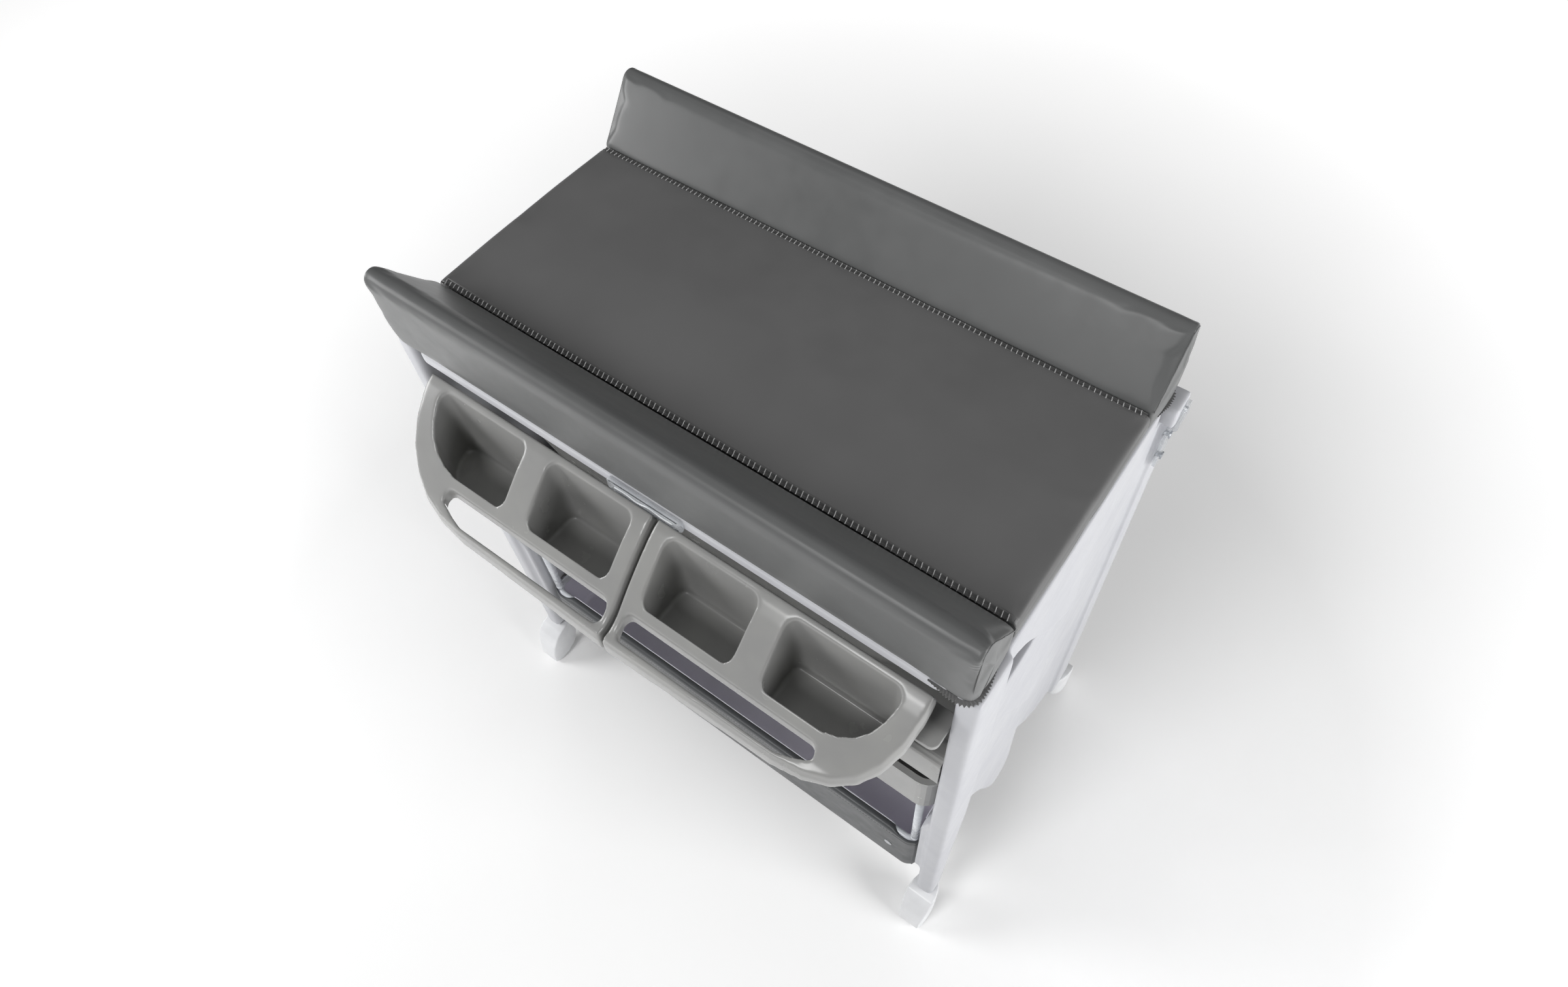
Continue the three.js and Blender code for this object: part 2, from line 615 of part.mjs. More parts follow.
// Clear strap: flat on the panel, then cranked out to carry the pin beyond the arm
function hingeStrap() {
  const t = strap.thickness;
  const crankZ = strapBend + (strapHead - strapInner);
  const topZ = hingeZ + strap.radius;
  const section = polygon([
    [-strapInner, strapLow], [-strapInner, strapBend], [-strapHead, crankZ], [-strapHead, topZ],
    [-strapHead - t, topZ], [-strapHead - t, crankZ - t / 2], [-strapInner - t, strapBend - t / 2],
    [-strapInner - t, strapLow],
  ].reverse());
  const y0 = hingeY - strap.width / 2;
  const bar = solid(backSlab(section, y0, y0 + strap.width));
  const foot = strap.width / 2;
  const outline = new THREE.Shape();
  outline.absarc(hingeY, strapLow + foot, foot, Math.PI, 2 * Math.PI);
  outline.lineTo(hingeY + foot, strapBend);
  outline.lineTo(hingeY + strap.radius, hingeZ);
  outline.absarc(hingeY, hingeZ, strap.radius, 0, Math.PI);
  outline.lineTo(hingeY - foot, strapBend);
  outline.closePath();
  const trimmed = bar.intersect(solid(acrossSlab(outline, strapInner - overrun, strapHead + t + overrun)));
  const holes = screwLevels().map((z) => solid(
    rod(screw.radius + fit, overrun * 4, 'x').translate(strapInner, hingeY, z),
  ));
  const eye = solid(rod(hinge.radius + fit, overrun * 4, 'x').translate(strapHead, hingeY, hingeZ));
  return cut(trimmed, [...holes, eye]);
}

function screwLevels() {
  const first = strapBend - screw.drop;
  return [first, first - screw.pitch];
}

function screwBody(z) {
  const tip = side.halfWidth - screw.length + fit;
  const middle = strapInner + strap.thickness + fit + screw.headHeight / 2; // of the head
  const shank = solid(rod(screw.radius, middle - tip, 'x').translate((tip + middle) / 2, hingeY, z));
  const head = solid(rod(screw.head, screw.headHeight, 'x'));
  return shank.add(head.translate([middle, hingeY, z]));
}

// Clear catch on the front edge of the board, over the joint of the two trays
function latchBody() {
  const y1 = boardFrontY - fit;
  const x0 = latch.x - latch.length / 2;
  const lowZ = boardLow - latch.drop;
  const shape = roundedRect(-x0 - latch.length, lowZ, -x0, lowZ + latch.height, latch.corner);
  const plate = solid(backSlab(shape, y1 - latch.thickness, y1));
  const ribX = -x0 - latch.length / 2;
  const ribEnd = latch.length / 3;
  const rib = roundedRect(ribX - ribEnd, lowZ, ribX + ribEnd, lowZ + latch.corner, latch.rib);
  return plate.add(solid(backSlab(rib, y1 - latch.thickness - latch.rib, y1)));
}

// Mat: a pad and two wedges, each a crowned cushion with its ends drawn in

// Stations along half the mat, as shares of its half length and of the pinch at its ends
const endShares = [[1, 1], [0.994, 0.55], [0.975, 0.2], [0.93, 0.04], [0.62, 0], [0.25, 0]];

function cushion(section) {
  const stations = [
    ...endShares.map(([at, pinch]) => [-at, pinch]),
    ...endShares.map(([at, pinch]) => [at, pinch]).reverse(),
  ];
  return solid(loft(stations.map(([at, pinch]) => {
    const points = section(1 - at * at);
    const middle = points.reduce((sum, p) => sum.add(p), new THREE.Vector2()).divideScalar(points.length);
    return points.map((p) => {
      const away = p.clone().sub(middle);
      const kept = Math.max(0, away.length() - pinch * mat.pinch);
      const place = middle.clone().addScaledVector(away.normalize(), kept);
      return new THREE.Vector3((at * mat.length) / 2, place.x, place.y);
    });
  })));
}

function padSection(swell) {
  const half = mat.padHalf - fit / 2;
  const rise = mat.crown * swell;
  // Across the pad, as shares of its half width and of its height, with the crown on top
  const padShares = [
    [-0.97, 0, 0], [0, 0, 0], [0.97, 0, 0], [1, 0.12, 0], [1, 0.8, 0], [0.97, 0.95, 0.1],
    [0.85, 1, 0.5], [0.5, 1, 0.9], [0, 1, 1], [-0.5, 1, 0.9], [-0.85, 1, 0.5], [-0.97, 0.95, 0.1],
    [-1, 0.8, 0], [-1, 0.12, 0],
  ];
  return padShares.map(([y, z, crown]) => new THREE.Vector2(
    y * half, matLow + z * mat.padHeight + crown * rise,
  ));
}

function wedgeSection(sign) {
  const seam = mat.padHalf + fit / 2;
  // Around the wedge from its foot at the seam, as shares of its width and height, and its crown
  const wedgeShares = [
    [0, 0, 0], [0, 0.29, 0], [0.06, 0.36, 0.4], [0.2, 0.5, 0.9], [0.38, 0.67, 1], [0.56, 0.83, 0.9],
    [0.72, 0.95, 0.5], [0.82, 0.99, 0], [0.92, 1, 0], [0.99, 0.96, 0], [1, 0.88, 0], [1, 0.5, 0],
    [0.99, 0.14, 0], [0.94, 0.02, 0], [0.9, 0, 0],
  ];
  return (swell) => {
    const rise = mat.crown * swell;
    const points = wedgeShares.map(([out, up, crown]) => new THREE.Vector2(
      sign * (seam + out * mat.wedge - (crown * rise) / 2),
      matLow + up * mat.wedgeHeight + (crown * rise) / 2,
    ));
    return sign < 0 ? points : points.reverse();
  };
}

// Trays, drawn for the right-hand half

function trayOutline(inset) {
  const x0 = tray.split + inset;
  const x1 = trayHalfX - inset;
  const y1 = trayRear - inset;
  const front = trayFront + inset;
  const sideY = trayRear - tray.sideRun;
  const bow = tray.sideRun / 5;
  const sweepX = trayHalfX - tray.sweepRun;
  const shape = new THREE.Shape();
  shape.moveTo(x0, y1);
  shape.lineTo(x0, front);
  shape.lineTo(sweepX, front + bow);
  shape.bezierCurveTo(
    (x1 + sweepX) / 2 + tray.sideRun, front + bow * 2,
    x1 - bow, sideY - tray.depth / 2,
    x1, sideY,
  );
  shape.lineTo(x1, y1);
  shape.closePath();
  return shape;
}

// Everything above the fall of the tray top, lowered by drop
function aboveFall(lower) {
  const points = fallShares.map(([along, down]) => new THREE.Vector2(
    trayRear - along * tray.depth, trayTop - down * tray.fall - lower,
  ));
  const curve = new THREE.SplineCurve(points).getPoints(fallSteps);
  const high = trayTop + tray.fall;
  const outline = new THREE.Shape([
    new THREE.Vector2(curve[0].x, high), ...curve, new THREE.Vector2(curve[curve.length - 1].x, high),
  ].reverse());
  return solid(acrossSlab(outline, -overrun, trayHalfX + overrun));
}

// Everything below the edge of the skirt
function belowSkirt() {
  const y0 = trayRear + overrun;
  const y1 = trayFront - overrun;
  const low = skirtLow - tray.fall;
  const outline = polygon([[y1, low], [y0, low], [y0, trayTop - tray.skirtRear], [y1, skirtLow]]);
  return solid(acrossSlab(outline, -overrun, trayHalfX + overrun));
}

// Plan outline of a pocket; the outer one has its outer front corner swept to the tray's curve
function pocketOutline({ x0, x1, corner, sweep }, grow) {
  const y1 = trayRear - pocketGap.rear + grow;
  const y0 = trayFront + pocketGap.front - grow;
  const left = x0 - grow;
  const right = x1 + grow;
  const r = corner + grow;
  const shape = new THREE.Shape();
  shape.absarc(left + r, y0 + r, r, Math.PI, 1.5 * Math.PI);
  if (sweep) {
    shape.lineTo(right - sweep - grow, y0);
    shape.quadraticCurveTo(right - r / 2, y0 + r / 2, right, y1 - r);
  } else {
    shape.absarc(right - r, y0 + r, r, -Math.PI / 2, 0);
  }
  shape.absarc(right - r, y1 - r, r, 0, Math.PI / 2);
  shape.absarc(left + r, y1 - r, r, Math.PI / 2, Math.PI);
  shape.closePath();
  return shape;
}

// A pocket's space, or the outside of its walls, drawn in towards the floor to leave the mould
function draftedWell(pocket, grow, z0, z1) {
  return solid(loft([[grow - pocketGap.draft, z0], [grow, z1]].map(([by, z]) => {
    const points = pocketOutline(pocket, by).getPoints(wellSteps);
    points.pop();
    return points.map((p) => new THREE.Vector3(p.x, p.y, z));
  })));
}

function slotOutline(grow) {
  const { x0, endGap, bar, width, taper } = slot;
  const left = x0 - grow;
  const right = trayHalfX - endGap + grow;
  const front = trayFront + bar - grow;
  const back = trayFront + bar + width + grow;
  const r = width / 3 + grow;
  const shape = new THREE.Shape();
  shape.absarc(left + r, front + r, r, Math.PI, 1.5 * Math.PI);
  shape.lineTo(trayHalfX - tray.sweepRun, front);
  shape.quadraticCurveTo(right - taper, front + taper, right, back - taper - r / 2);
  shape.quadraticCurveTo(right, back, right - r, back);
  shape.absarc(left + r, back - r, r, Math.PI / 2, Math.PI);
  shape.closePath();
  return shape;
}

function trayHalf() {
  const { wall, ledge, ledgeDrop } = tray;
  const high = trayTop + overrun;
  const low = skirtLow - overrun;
  const above = aboveFall(0);
  const below = belowSkirt();
  const floorZ = trayTop - tray.pocketDepth;
  const innerEnd = innerPocket.x0 + innerPocket.width;
  const pockets = [
    { ...innerPocket, x1: innerEnd },
    { ...outerPocket, x0: innerEnd + outerPocket.rib, x1: trayHalfX - outerPocket.endGap },
  ];
  const wells = join(pockets.map((pocket) => draftedWell(pocket, wall, floorZ - wall, high)));
  const slotWall = solid(upSlab(slotOutline(slot.wall), low, high)).subtract(below);
  const boss = solid(rod(trayPin.boss, high - trayLugTop(), 'z').translate(
    pinX, pinY, (high + trayLugTop()) / 2,
  ));
  const slab = (inset, drop, foot) => {
    const body = solid(upSlab(trayOutline(inset), foot, high, 0, sweepSteps));
    return body.subtract(aboveFall(drop));
  };
  const skirt = slab(0, ledgeDrop, low);
  const crown = join([slab(ledge, 0, low), wells.add(boss).subtract(above)]);
  const cavity = cut(
    slab(wall, ledgeDrop + wall, low - overrun).add(slab(wall + ledge, wall, low - overrun)),
    [wells, slotWall, boss],
  );
  const outer = join([skirt.subtract(below), crown.subtract(below), wells.subtract(above)]);
  const hollows = pockets.map((pocket) => draftedWell(pocket, 0, floorZ, high));
  const through = solid(upSlab(slotOutline(0), low - overrun, high));
  const bore = solid(rod(trayPin.radius + fit, trayPin.insertion * 2, 'z').translate(
    pinX, pinY, trayLugTop(),
  ));
  return cut(outer, [cavity, ...hollows, through, bore]);
}

function trayLugTop() {
  return lugZ + trayPin.lug + fit;
}

// Lug on the front leg that carries the pin of a tray
function trayLug() {
  const { lug, reach, radius } = trayPin;
  const shape = roundedRect(pinX - reach, pinY - reach, spanHalf, legFaceY + frontLeg.depth / 3, reach);
  const plate = solid(upSlab(shape, lugZ, lugZ + lug, radius / 4));
  const bore = solid(rod(radius + fit, lug * 3, 'z').translate(pinX, pinY, lugZ + lug / 2));
  return plate.subtract(bore);
}

function trayPinBody() {
  const high = trayLugTop() + trayPin.insertion - fit;
  return solid(rod(trayPin.radius, high - lugZ, 'z').translate(pinX, pinY, (lugZ + high) / 2));
}

// Castors, drawn about their stem with the nose towards -Y

const hoodTop = side.footZ - castor.clearTop;

function hoodSide() {
  const { nose, tail, flat, baseZ, tailZ } = hood;
  const shape = new THREE.Shape();
  shape.moveTo(-nose, baseZ);
  shape.quadraticCurveTo(nose * -0.35, baseZ, tail, tailZ);
  shape.lineTo(tail, hoodTop - tail);
  shape.quadraticCurveTo(tail, hoodTop, flat, hoodTop);
  shape.lineTo(-flat, hoodTop);
  shape.bezierCurveTo(nose * -0.7, hoodTop, -nose, (hoodTop + baseZ) * 0.55, -nose, baseZ);
  shape.closePath();
  return shape;
}

function hoodPlan() {
  const { nose, noseHalf, halfWidth, tail } = hood;
  const shape = new THREE.Shape();
  shape.moveTo(-noseHalf, -nose);
  shape.lineTo(noseHalf, -nose);
  shape.bezierCurveTo(halfWidth, nose * -0.8, halfWidth * 1.06, nose * -0.25, halfWidth * 0.8, 0);
  shape.quadraticCurveTo(halfWidth / 2, tail, 0, tail);
  shape.quadraticCurveTo(halfWidth * -0.5, tail, halfWidth * -0.8, 0);
  shape.bezierCurveTo(halfWidth * -1.06, nose * -0.25, -halfWidth, nose * -0.8, -noseHalf, -nose);
  shape.closePath();
  return shape;
}

function hoodBody(withBrake) {
  const across = hood.halfWidth + overrun;
  const profile = solid(acrossSlab(hoodSide(), -across, across, 0, hoodSteps));
  const plan = solid(upSlab(hoodPlan(), 0, hoodTop + overrun, 0, hoodSteps));
  const well = rod(wheel.radius + wheel.clear, wheel.width + 2 * wheel.clear, 'x', fine);
  const axleBore = rod(axle.radius + fit, (axle.halfLength + fit) * 2, 'x');
  const stemBore = rod(stem.radius + fit, hood.lap * 2, 'z').translate(0, 0, hoodTop);
  const cutters = [
    solid(well.translate(0, -wheel.offset, wheel.radius)),
    solid(axleBore.translate(0, -wheel.offset, wheel.radius)),
    solid(stemBore),
  ];
  if (withBrake) cutters.push(...brakeRoom());
  return cut(profile.intersect(plan), cutters);
}

function brakeRoom() {
  const { pivot, pivotZ, halfWidth, stub, stubOut, room, barrel } = brake;
  const bay = boxBetween(
    [-halfWidth - fit, -hood.nose - overrun, pivotZ - barrel - room / 2],
    [halfWidth + fit, -pivot + barrel + room / 3, hoodTop + overrun],
  );
  const pinBore = rod(stub + fit, (halfWidth + stubOut + fit) * 2, 'x').translate(0, -pivot, pivotZ);
  return [solid(bay), solid(pinBore)];
}

function wheelBody() {
  const half = wheel.width / 2;
  const bore = axle.radius + fit;
  const face = half - wheel.dish;
  const rimInner = wheel.radius - wheel.tread * 2;
  const profile = [
    [bore, -half], [wheel.hub, -half], [wheel.hub, -face], [rimInner, -half],
    [wheel.radius - wheel.tread / 2, -half], [wheel.radius, -half + wheel.tread],
    [wheel.radius, half - wheel.tread], [wheel.radius - wheel.tread / 2, half], [rimInner, half],
    [wheel.hub, face], [wheel.hub, half], [bore, half], [bore, -half],
  ].map(([r, y]) => new THREE.Vector2(r, y));
  const turned = new THREE.LatheGeometry(profile, wheelSides).rotateZ(Math.PI / 2);
  return solid(turned.translate(0, -wheel.offset, wheel.radius));
}

function axleBody() {
  return solid(rod(axle.radius, axle.halfLength * 2, 'x').translate(0, -wheel.offset, wheel.radius));
}

function stemBody() {
  const { radius, collar } = stem;
  const high = side.footZ + stem.up - overrun * 2;
  const low = hoodTop - hood.lap + fit;
  const profile = [
    [0, low], [radius, low], [radius, hoodTop + fit], [collar, hoodTop + fit],
    [collar, side.footZ - fit], [radius, side.footZ - fit], [radius, high], [0, high],
  ].map(([r, z]) => new THREE.Vector2(r, z));
  return solid(new THREE.LatheGeometry(profile, coarse).rotateX(Math.PI / 2));
}

function brakeLever() {
  const { pivot, pivotZ, barrel, halfWidth, reach, thickness, stub, stubOut } = brake;
  const shape = new THREE.Shape();
  shape.moveTo(-pivot, pivotZ + barrel);
  shape.lineTo(-pivot, pivotZ + barrel - thickness);
  shape.lineTo(-pivot - reach + thickness, pivotZ + barrel - thickness / 2);
  shape.lineTo(-pivot - reach, pivotZ + barrel + thickness / 2);
  shape.lineTo(-pivot - reach + thickness, pivotZ + barrel + thickness);
  shape.closePath();
  const outline = new THREE.Shape(shape.getPoints().reverse());
  const plate = solid(acrossSlab(outline, -halfWidth, halfWidth));
  const barrelBody = solid(rod(barrel, halfWidth * 2, 'x').translate(0, -pivot, pivotZ));
  const stubs = solid(rod(stub, (halfWidth + stubOut) * 2, 'x').translate(0, -pivot, pivotZ));
  return join([barrelBody, plate, stubs]);
}

// Assembly

const table = new THREE.Group();

function add(name, body, finish, parent = table) {
  const geometry = body.isBufferGeometry ? body : geometryOf(body);
  const mesh = new THREE.Mesh(geometry, finishes[finish]);
  mesh.name = name;
  parent.add(mesh);
  return mesh;
}

const hands = [['left', -1], ['right', 1]];

// A right-hand body and its mirror image on the left
function addPair(name, body, finish) {
  for (const [hand, sign] of hands) {
    add(`${name}_${hand}`, body, finish).scale.x = sign;
  }
}

addPair('side_panel', sidePanel(), 'whitePlastic');
add('front_beam', crossBeam(), 'greyPlastic');
add('rear_beam', crossBeam(), 'greyPlastic').scale.y = -1;
add('storage_shelf', shelfBody(), 'greyPlastic');
addPair('front_post', postBody(), 'whiteSteel');
for (const [hand, sign] of hands) {
  add(`rear_post_${hand}`, postBody(), 'whiteSteel').scale.set(sign, -1, 1);
}
add('basket_frame', basketRing(), 'whiteSteel');
add('basket', basketBody(), 'basketVinyl');
addPair('basket_snap', snapBody(), 'whitePlastic');

addPair('bath_rail', bathRail(), 'whiteSteel');
add('bath_tub', bathBody(), 'greyPlastic');
add('drain_plug', drainPlug(), 'greyPlastic');

add('changing_board', boardBody(), 'whitePlastic');
add('top_latch', latchBody(), 'clearPlastic');
add('mat_pad', cushion(padSection), 'paddedVinyl');
add('front_wedge', cushion(wedgeSection(-1)), 'wedgeVinyl');
add('back_wedge', cushion(wedgeSection(1)), 'wedgeVinyl');
addPair('hinge_pin', hingePin(), 'zincSteel');
addPair('hinge_strap', hingeStrap(), 'clearPlastic');
screwLevels().forEach((z, i) => {
  addPair(['upper', 'lower'][i] + '_strap_screw', screwBody(z), 'zincSteel');
});

addPair('tray', trayHalf(), 'greyPlastic');
addPair('tray_lug', trayLug(), 'whitePlastic');
addPair('tray_pin', trayPinBody(), 'zincSteel');

for (const [end, turn] of [['front', 0], ['rear', Math.PI]]) {
  const braked = end === 'rear';
  for (const [hand, sign] of hands) {
    const corner = new THREE.Group();
    corner.position.set(sign * stemX, stemAt[end], 0);
    corner.rotation.z = turn;
    table.add(corner);
    const tag = `${end}_${hand}`;
    add(`castor_stem_${tag}`, stemBody(), 'zincSteel', corner);
    add(`castor_hood_${tag}`, hoodBody(braked), 'castorPlastic', corner);
    add(`castor_wheel_${tag}`, wheelBody(), 'tyre', corner);
    add(`castor_axle_${tag}`, axleBody(), 'zincSteel', corner);
    if (braked) add(`brake_lever_${hand}`, brakeLever(), 'greyPlastic', corner);
  }
}

// The footprint runs from the front of the trays to the end of the brake levers
const footRear = stemAt.rear + brake.pivot + brake.reach;
table.position.y = -(trayFront + footRear) / 2;

export default table;
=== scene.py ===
import bpy
import json
import math
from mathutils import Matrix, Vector, noise
from mathutils.bvhtree import BVHTree

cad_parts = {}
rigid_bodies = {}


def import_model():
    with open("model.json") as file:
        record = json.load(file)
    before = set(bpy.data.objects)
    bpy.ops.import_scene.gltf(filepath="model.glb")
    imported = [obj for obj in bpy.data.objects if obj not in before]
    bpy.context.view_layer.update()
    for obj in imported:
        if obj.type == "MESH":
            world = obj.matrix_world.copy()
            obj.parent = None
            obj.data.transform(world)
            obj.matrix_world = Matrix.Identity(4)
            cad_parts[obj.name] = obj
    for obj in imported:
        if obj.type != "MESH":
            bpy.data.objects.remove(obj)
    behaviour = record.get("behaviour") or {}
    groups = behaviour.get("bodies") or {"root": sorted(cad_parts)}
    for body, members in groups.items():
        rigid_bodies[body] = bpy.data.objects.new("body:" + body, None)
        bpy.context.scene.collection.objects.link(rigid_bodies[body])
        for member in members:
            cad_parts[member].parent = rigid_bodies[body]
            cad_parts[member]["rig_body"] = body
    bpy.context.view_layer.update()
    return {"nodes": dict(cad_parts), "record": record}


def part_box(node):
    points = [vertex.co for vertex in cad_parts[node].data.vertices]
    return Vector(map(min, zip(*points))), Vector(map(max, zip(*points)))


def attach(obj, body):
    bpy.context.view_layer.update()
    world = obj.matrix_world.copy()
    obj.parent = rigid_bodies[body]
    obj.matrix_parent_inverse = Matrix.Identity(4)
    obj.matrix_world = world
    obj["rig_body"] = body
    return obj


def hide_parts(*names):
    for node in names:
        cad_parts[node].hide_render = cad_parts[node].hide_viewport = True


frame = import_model()
nodes = frame["nodes"]
mm = 0.001
midY = sum(corner.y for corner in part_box("mat_pad")) / 2 / mm  # the middle of the mat, in millimetres
print("frame loaded,", len(nodes), "nodes")


def place(x, y, z):
    # a point in millimetres about the middle of the mat, as metres in the frame
    return Vector((x, y + midY, z)) * mm


def unplace(point):
    return point.x / mm, point.y / mm - midY, point.z / mm


def extent(node):
    # a node's lowest and highest corner, in millimetres about the middle of the mat
    return [Vector(unplace(corner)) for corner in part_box(node)]


def bodyOf(node):
    return nodes[node]["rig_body"]


# Meshes

def meshPiece(name, points, faces, finish, smooth=True):
    mesh = bpy.data.meshes.new(name)
    mesh.from_pydata([tuple(point) for point in points], [], faces)
    mesh.validate()
    mesh.materials.append(finish)
    mesh.polygons.foreach_set("use_smooth", [smooth] * len(mesh.polygons))
    piece = bpy.data.objects.new(name, mesh)
    bpy.context.scene.collection.objects.link(piece)
    return piece


def loftFaces(rings, count, closed):
    # quads between rings of equal count, with the ends left to the caller
    faces = []
    runs = rings if closed else rings - 1
    for i in range(runs):
        a, b = i * count, ((i + 1) % rings) * count
        for j in range(count):
            k = (j + 1) % count
            faces.append((a + j, a + k, b + k, b + j))
    return faces


def loft(rings, closed=False, capped=True):
    count = len(rings[0])
    points = [point for ring in rings for point in ring]
    faces = loftFaces(len(rings), count, closed)
    if capped and not closed:
        faces.append(tuple(reversed(range(count))))
        faces.append(tuple(range(len(points) - count, len(points))))
    return points, faces


def tubeRings(path, radius, sides, closed=False):
    # circles carried along a path of points, with no twist where the path stays level
    rings = []
    last = len(path) - 1
    for i, point in enumerate(path):
        before = path[i - 1] if closed or i else path[0]
        after = path[(i + 1) % len(path)] if closed or i < last else path[last]
        ahead = (after - before).normalized()
        lift = Vector((0, 0, 1)) if abs(ahead.z) < 0.9 else Vector((1, 0, 0))
        out = ahead.cross(lift).normalized()
        up = out.cross(ahead)
        ring = []
        for j in range(sides):
            angle = 2 * math.pi * j / sides
            ring.append(point + out * radius * math.cos(angle) + up * radius * math.sin(angle))
        rings.append(ring)
    return rings


def bake(piece):
    # what the modifiers make becomes the mesh itself
    depsgraph = bpy.context.evaluated_depsgraph_get()
    mesh = bpy.data.meshes.new_from_object(piece.evaluated_get(depsgraph))
    piece.modifiers.clear()
    piece.data = mesh


def settle(piece, body, slot, *replaced):
    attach(piece, body)
    if replaced:
        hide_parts(*replaced)
    return piece


# Finishes

def linear(hexColour):
    channels = [int(hexColour[i:i + 2], 16) / 255 for i in (1, 3, 5)]
    return tuple(c / 12.92 if c <= 0.04045 else ((c + 0.055) / 1.055) ** 2.4 for c in channels) + (1.0,)


def addNode(tree, kind, settings=None, links=None):
    node = tree.nodes.new(kind)
    for key, value in (settings or {}).items():
        if isinstance(key, str) and hasattr(node, key):
            setattr(node, key, value)
        else:
            node.inputs[key].default_value = value
    for key, source in (links or {}).items():
        tree.links.new(source, node.inputs[key])
    return node


def startFinish(name, settings):
    finish = bpy.data.materials.new(name)
    finish.use_nodes = True
    shader = finish.node_tree.nodes["Principled BSDF"]
    for key, value in settings.items():
        shader.inputs[key].default_value = value
    spot = addNode(finish.node_tree, "ShaderNodeTexCoord").outputs["Object"]
    return finish, finish.node_tree, shader, spot


def perMetre(sizeMm):
    # a noise's scale that makes its features about this many millimetres across
    return 1 / (sizeMm * mm)


def noiseOf(tree, spot, sizeMm, detail):
    return addNode(
        tree, "ShaderNodeTexNoise", {"Scale": perMetre(sizeMm), "Detail": detail}, {"Vector": spot},
    ).outputs["Fac"]


def mottle(tree, spot, sizeMm, dark, light, detail=3.0):
    # two close colours in soft patches
    spread = addNode(
        tree, "ShaderNodeMapRange", {1: 0.35, 2: 0.65}, {0: noiseOf(tree, spot, sizeMm, detail)},
    )
    return addNode(
        tree, "ShaderNodeMix", {"data_type": "RGBA", 6: linear(dark), 7: linear(light)},
        {0: spread.outputs[0]},
    ).outputs[2]


def relief(tree, spot, sizeMm, depthMm, detail):
    # bumps this many millimetres across and deep
    return addNode(
        tree, "ShaderNodeBump", {"Strength": 1.0, "Distance": depthMm * mm},
        {"Height": noiseOf(tree, spot, sizeMm, detail)},
    ).outputs["Normal"]


def unevenGloss(tree, spot, sizeMm, low, high):
    # roughness that drifts between two values
    return addNode(
        tree, "ShaderNodeMapRange", {1: 0.3, 2: 0.7, 3: low, 4: high},
        {0: noiseOf(tree, spot, sizeMm, 4.0)},
    ).outputs[0]


def blowMouldedPolyethylene():
    # white HDPE: satin, a little wavy where the skin cooled, so highlights wander along its edges
    finish, tree, shader, spot = startFinish("blow_moulded_white_polyethylene", {"IOR": 1.54})
    tree.links.new(mottle(tree, spot, 90, "#bdbec3", "#c3c4c8"), shader.inputs["Base Color"])
    tree.links.new(unevenGloss(tree, spot, 24, 0.36, 0.46), shader.inputs["Roughness"])
    tree.links.new(relief(tree, spot, 50, 0.45, 1.0), shader.inputs["Normal"])
    return finish


def mouldedPolypropylene():
    # warm grey PP from a polished tool: semi-gloss, with long soft waves in its highlights
    finish, tree, shader, spot = startFinish("injection_moulded_grey_polypropylene", {"IOR": 1.49})
    tree.links.new(mottle(tree, spot, 60, "#949493", "#9a9a98"), shader.inputs["Base Color"])
    tree.links.new(unevenGloss(tree, spot, 40, 0.22, 0.28), shader.inputs["Roughness"])
    tree.links.new(relief(tree, spot, 80, 0.2, 1.0), shader.inputs["Normal"])
    return finish


def calenderedVinyl(name, dark, light, roughness, gloss=0.5):
    # PVC-coated cloth: smooth calendered face over foam, with a faint leather print and soft dents
    finish, tree, shader, spot = startFinish(
        name, {"IOR": 1.5, "Specular IOR Level": gloss, "Sheen Weight": 0.04},
    )
    satin = unevenGloss(tree, spot, 30, roughness - 0.04, roughness + 0.05)
    tree.links.new(mottle(tree, spot, 120, dark, light), shader.inputs["Base Color"])
    tree.links.new(satin, shader.inputs["Roughness"])
    dents = relief(tree, spot, 150, 0.5, 1.0)
    cells = addNode(  # the 1.3 mm leather print, drawn at twice its size so that it shows
        tree, "ShaderNodeTexVoronoi", {"feature": "SMOOTH_F1", "Scale": perMetre(2.6)}, {"Vector": spot},
    )
    prints = addNode(
        tree, "ShaderNodeBump", {"Strength": 0.25, "Distance": 0.02 * mm},
        {"Height": cells.outputs["Distance"], "Normal": dents},
    )
    tree.links.new(prints.outputs["Normal"], shader.inputs["Normal"])
    return finish


def wovenBackedVinyl(name, dark, light):
    # basket cloth: thin coated polyester, its 0.8 mm weave showing through the film, drawn at 2.4 mm
    finish, tree, shader, spot = startFinish(name, {"IOR": 1.5, "Sheen Weight": 0.05})
    tree.links.new(mottle(tree, spot, 80, dark, light), shader.inputs["Base Color"])
    tree.links.new(unevenGloss(tree, spot, 20, 0.36, 0.46), shader.inputs["Roughness"])
    pitch = perMetre(2.4) / 2 / math.pi
    warp = addNode(
        tree, "ShaderNodeTexWave", {"Scale": pitch, "bands_direction": "X"}, {"Vector": spot},
    )
    weft = addNode(
        tree, "ShaderNodeTexWave", {"Scale": pitch, "bands_direction": "Z"}, {"Vector": spot},
    )
    weave = addNode(
        tree, "ShaderNodeMath", {"operation": "MULTIPLY"}, {0: warp.outputs["Fac"], 1: weft.outputs["Fac"]},
    )
    creases = relief(tree, spot, 70, 0.8, 1.0)
    bump = addNode(
        tree, "ShaderNodeBump", {"Strength": 0.25, "Distance": 0.05 * mm},
        {"Height": weave.outputs[0], "Normal": creases},
    )
    tree.links.new(bump.outputs["Normal"], shader.inputs["Normal"])
    return finish


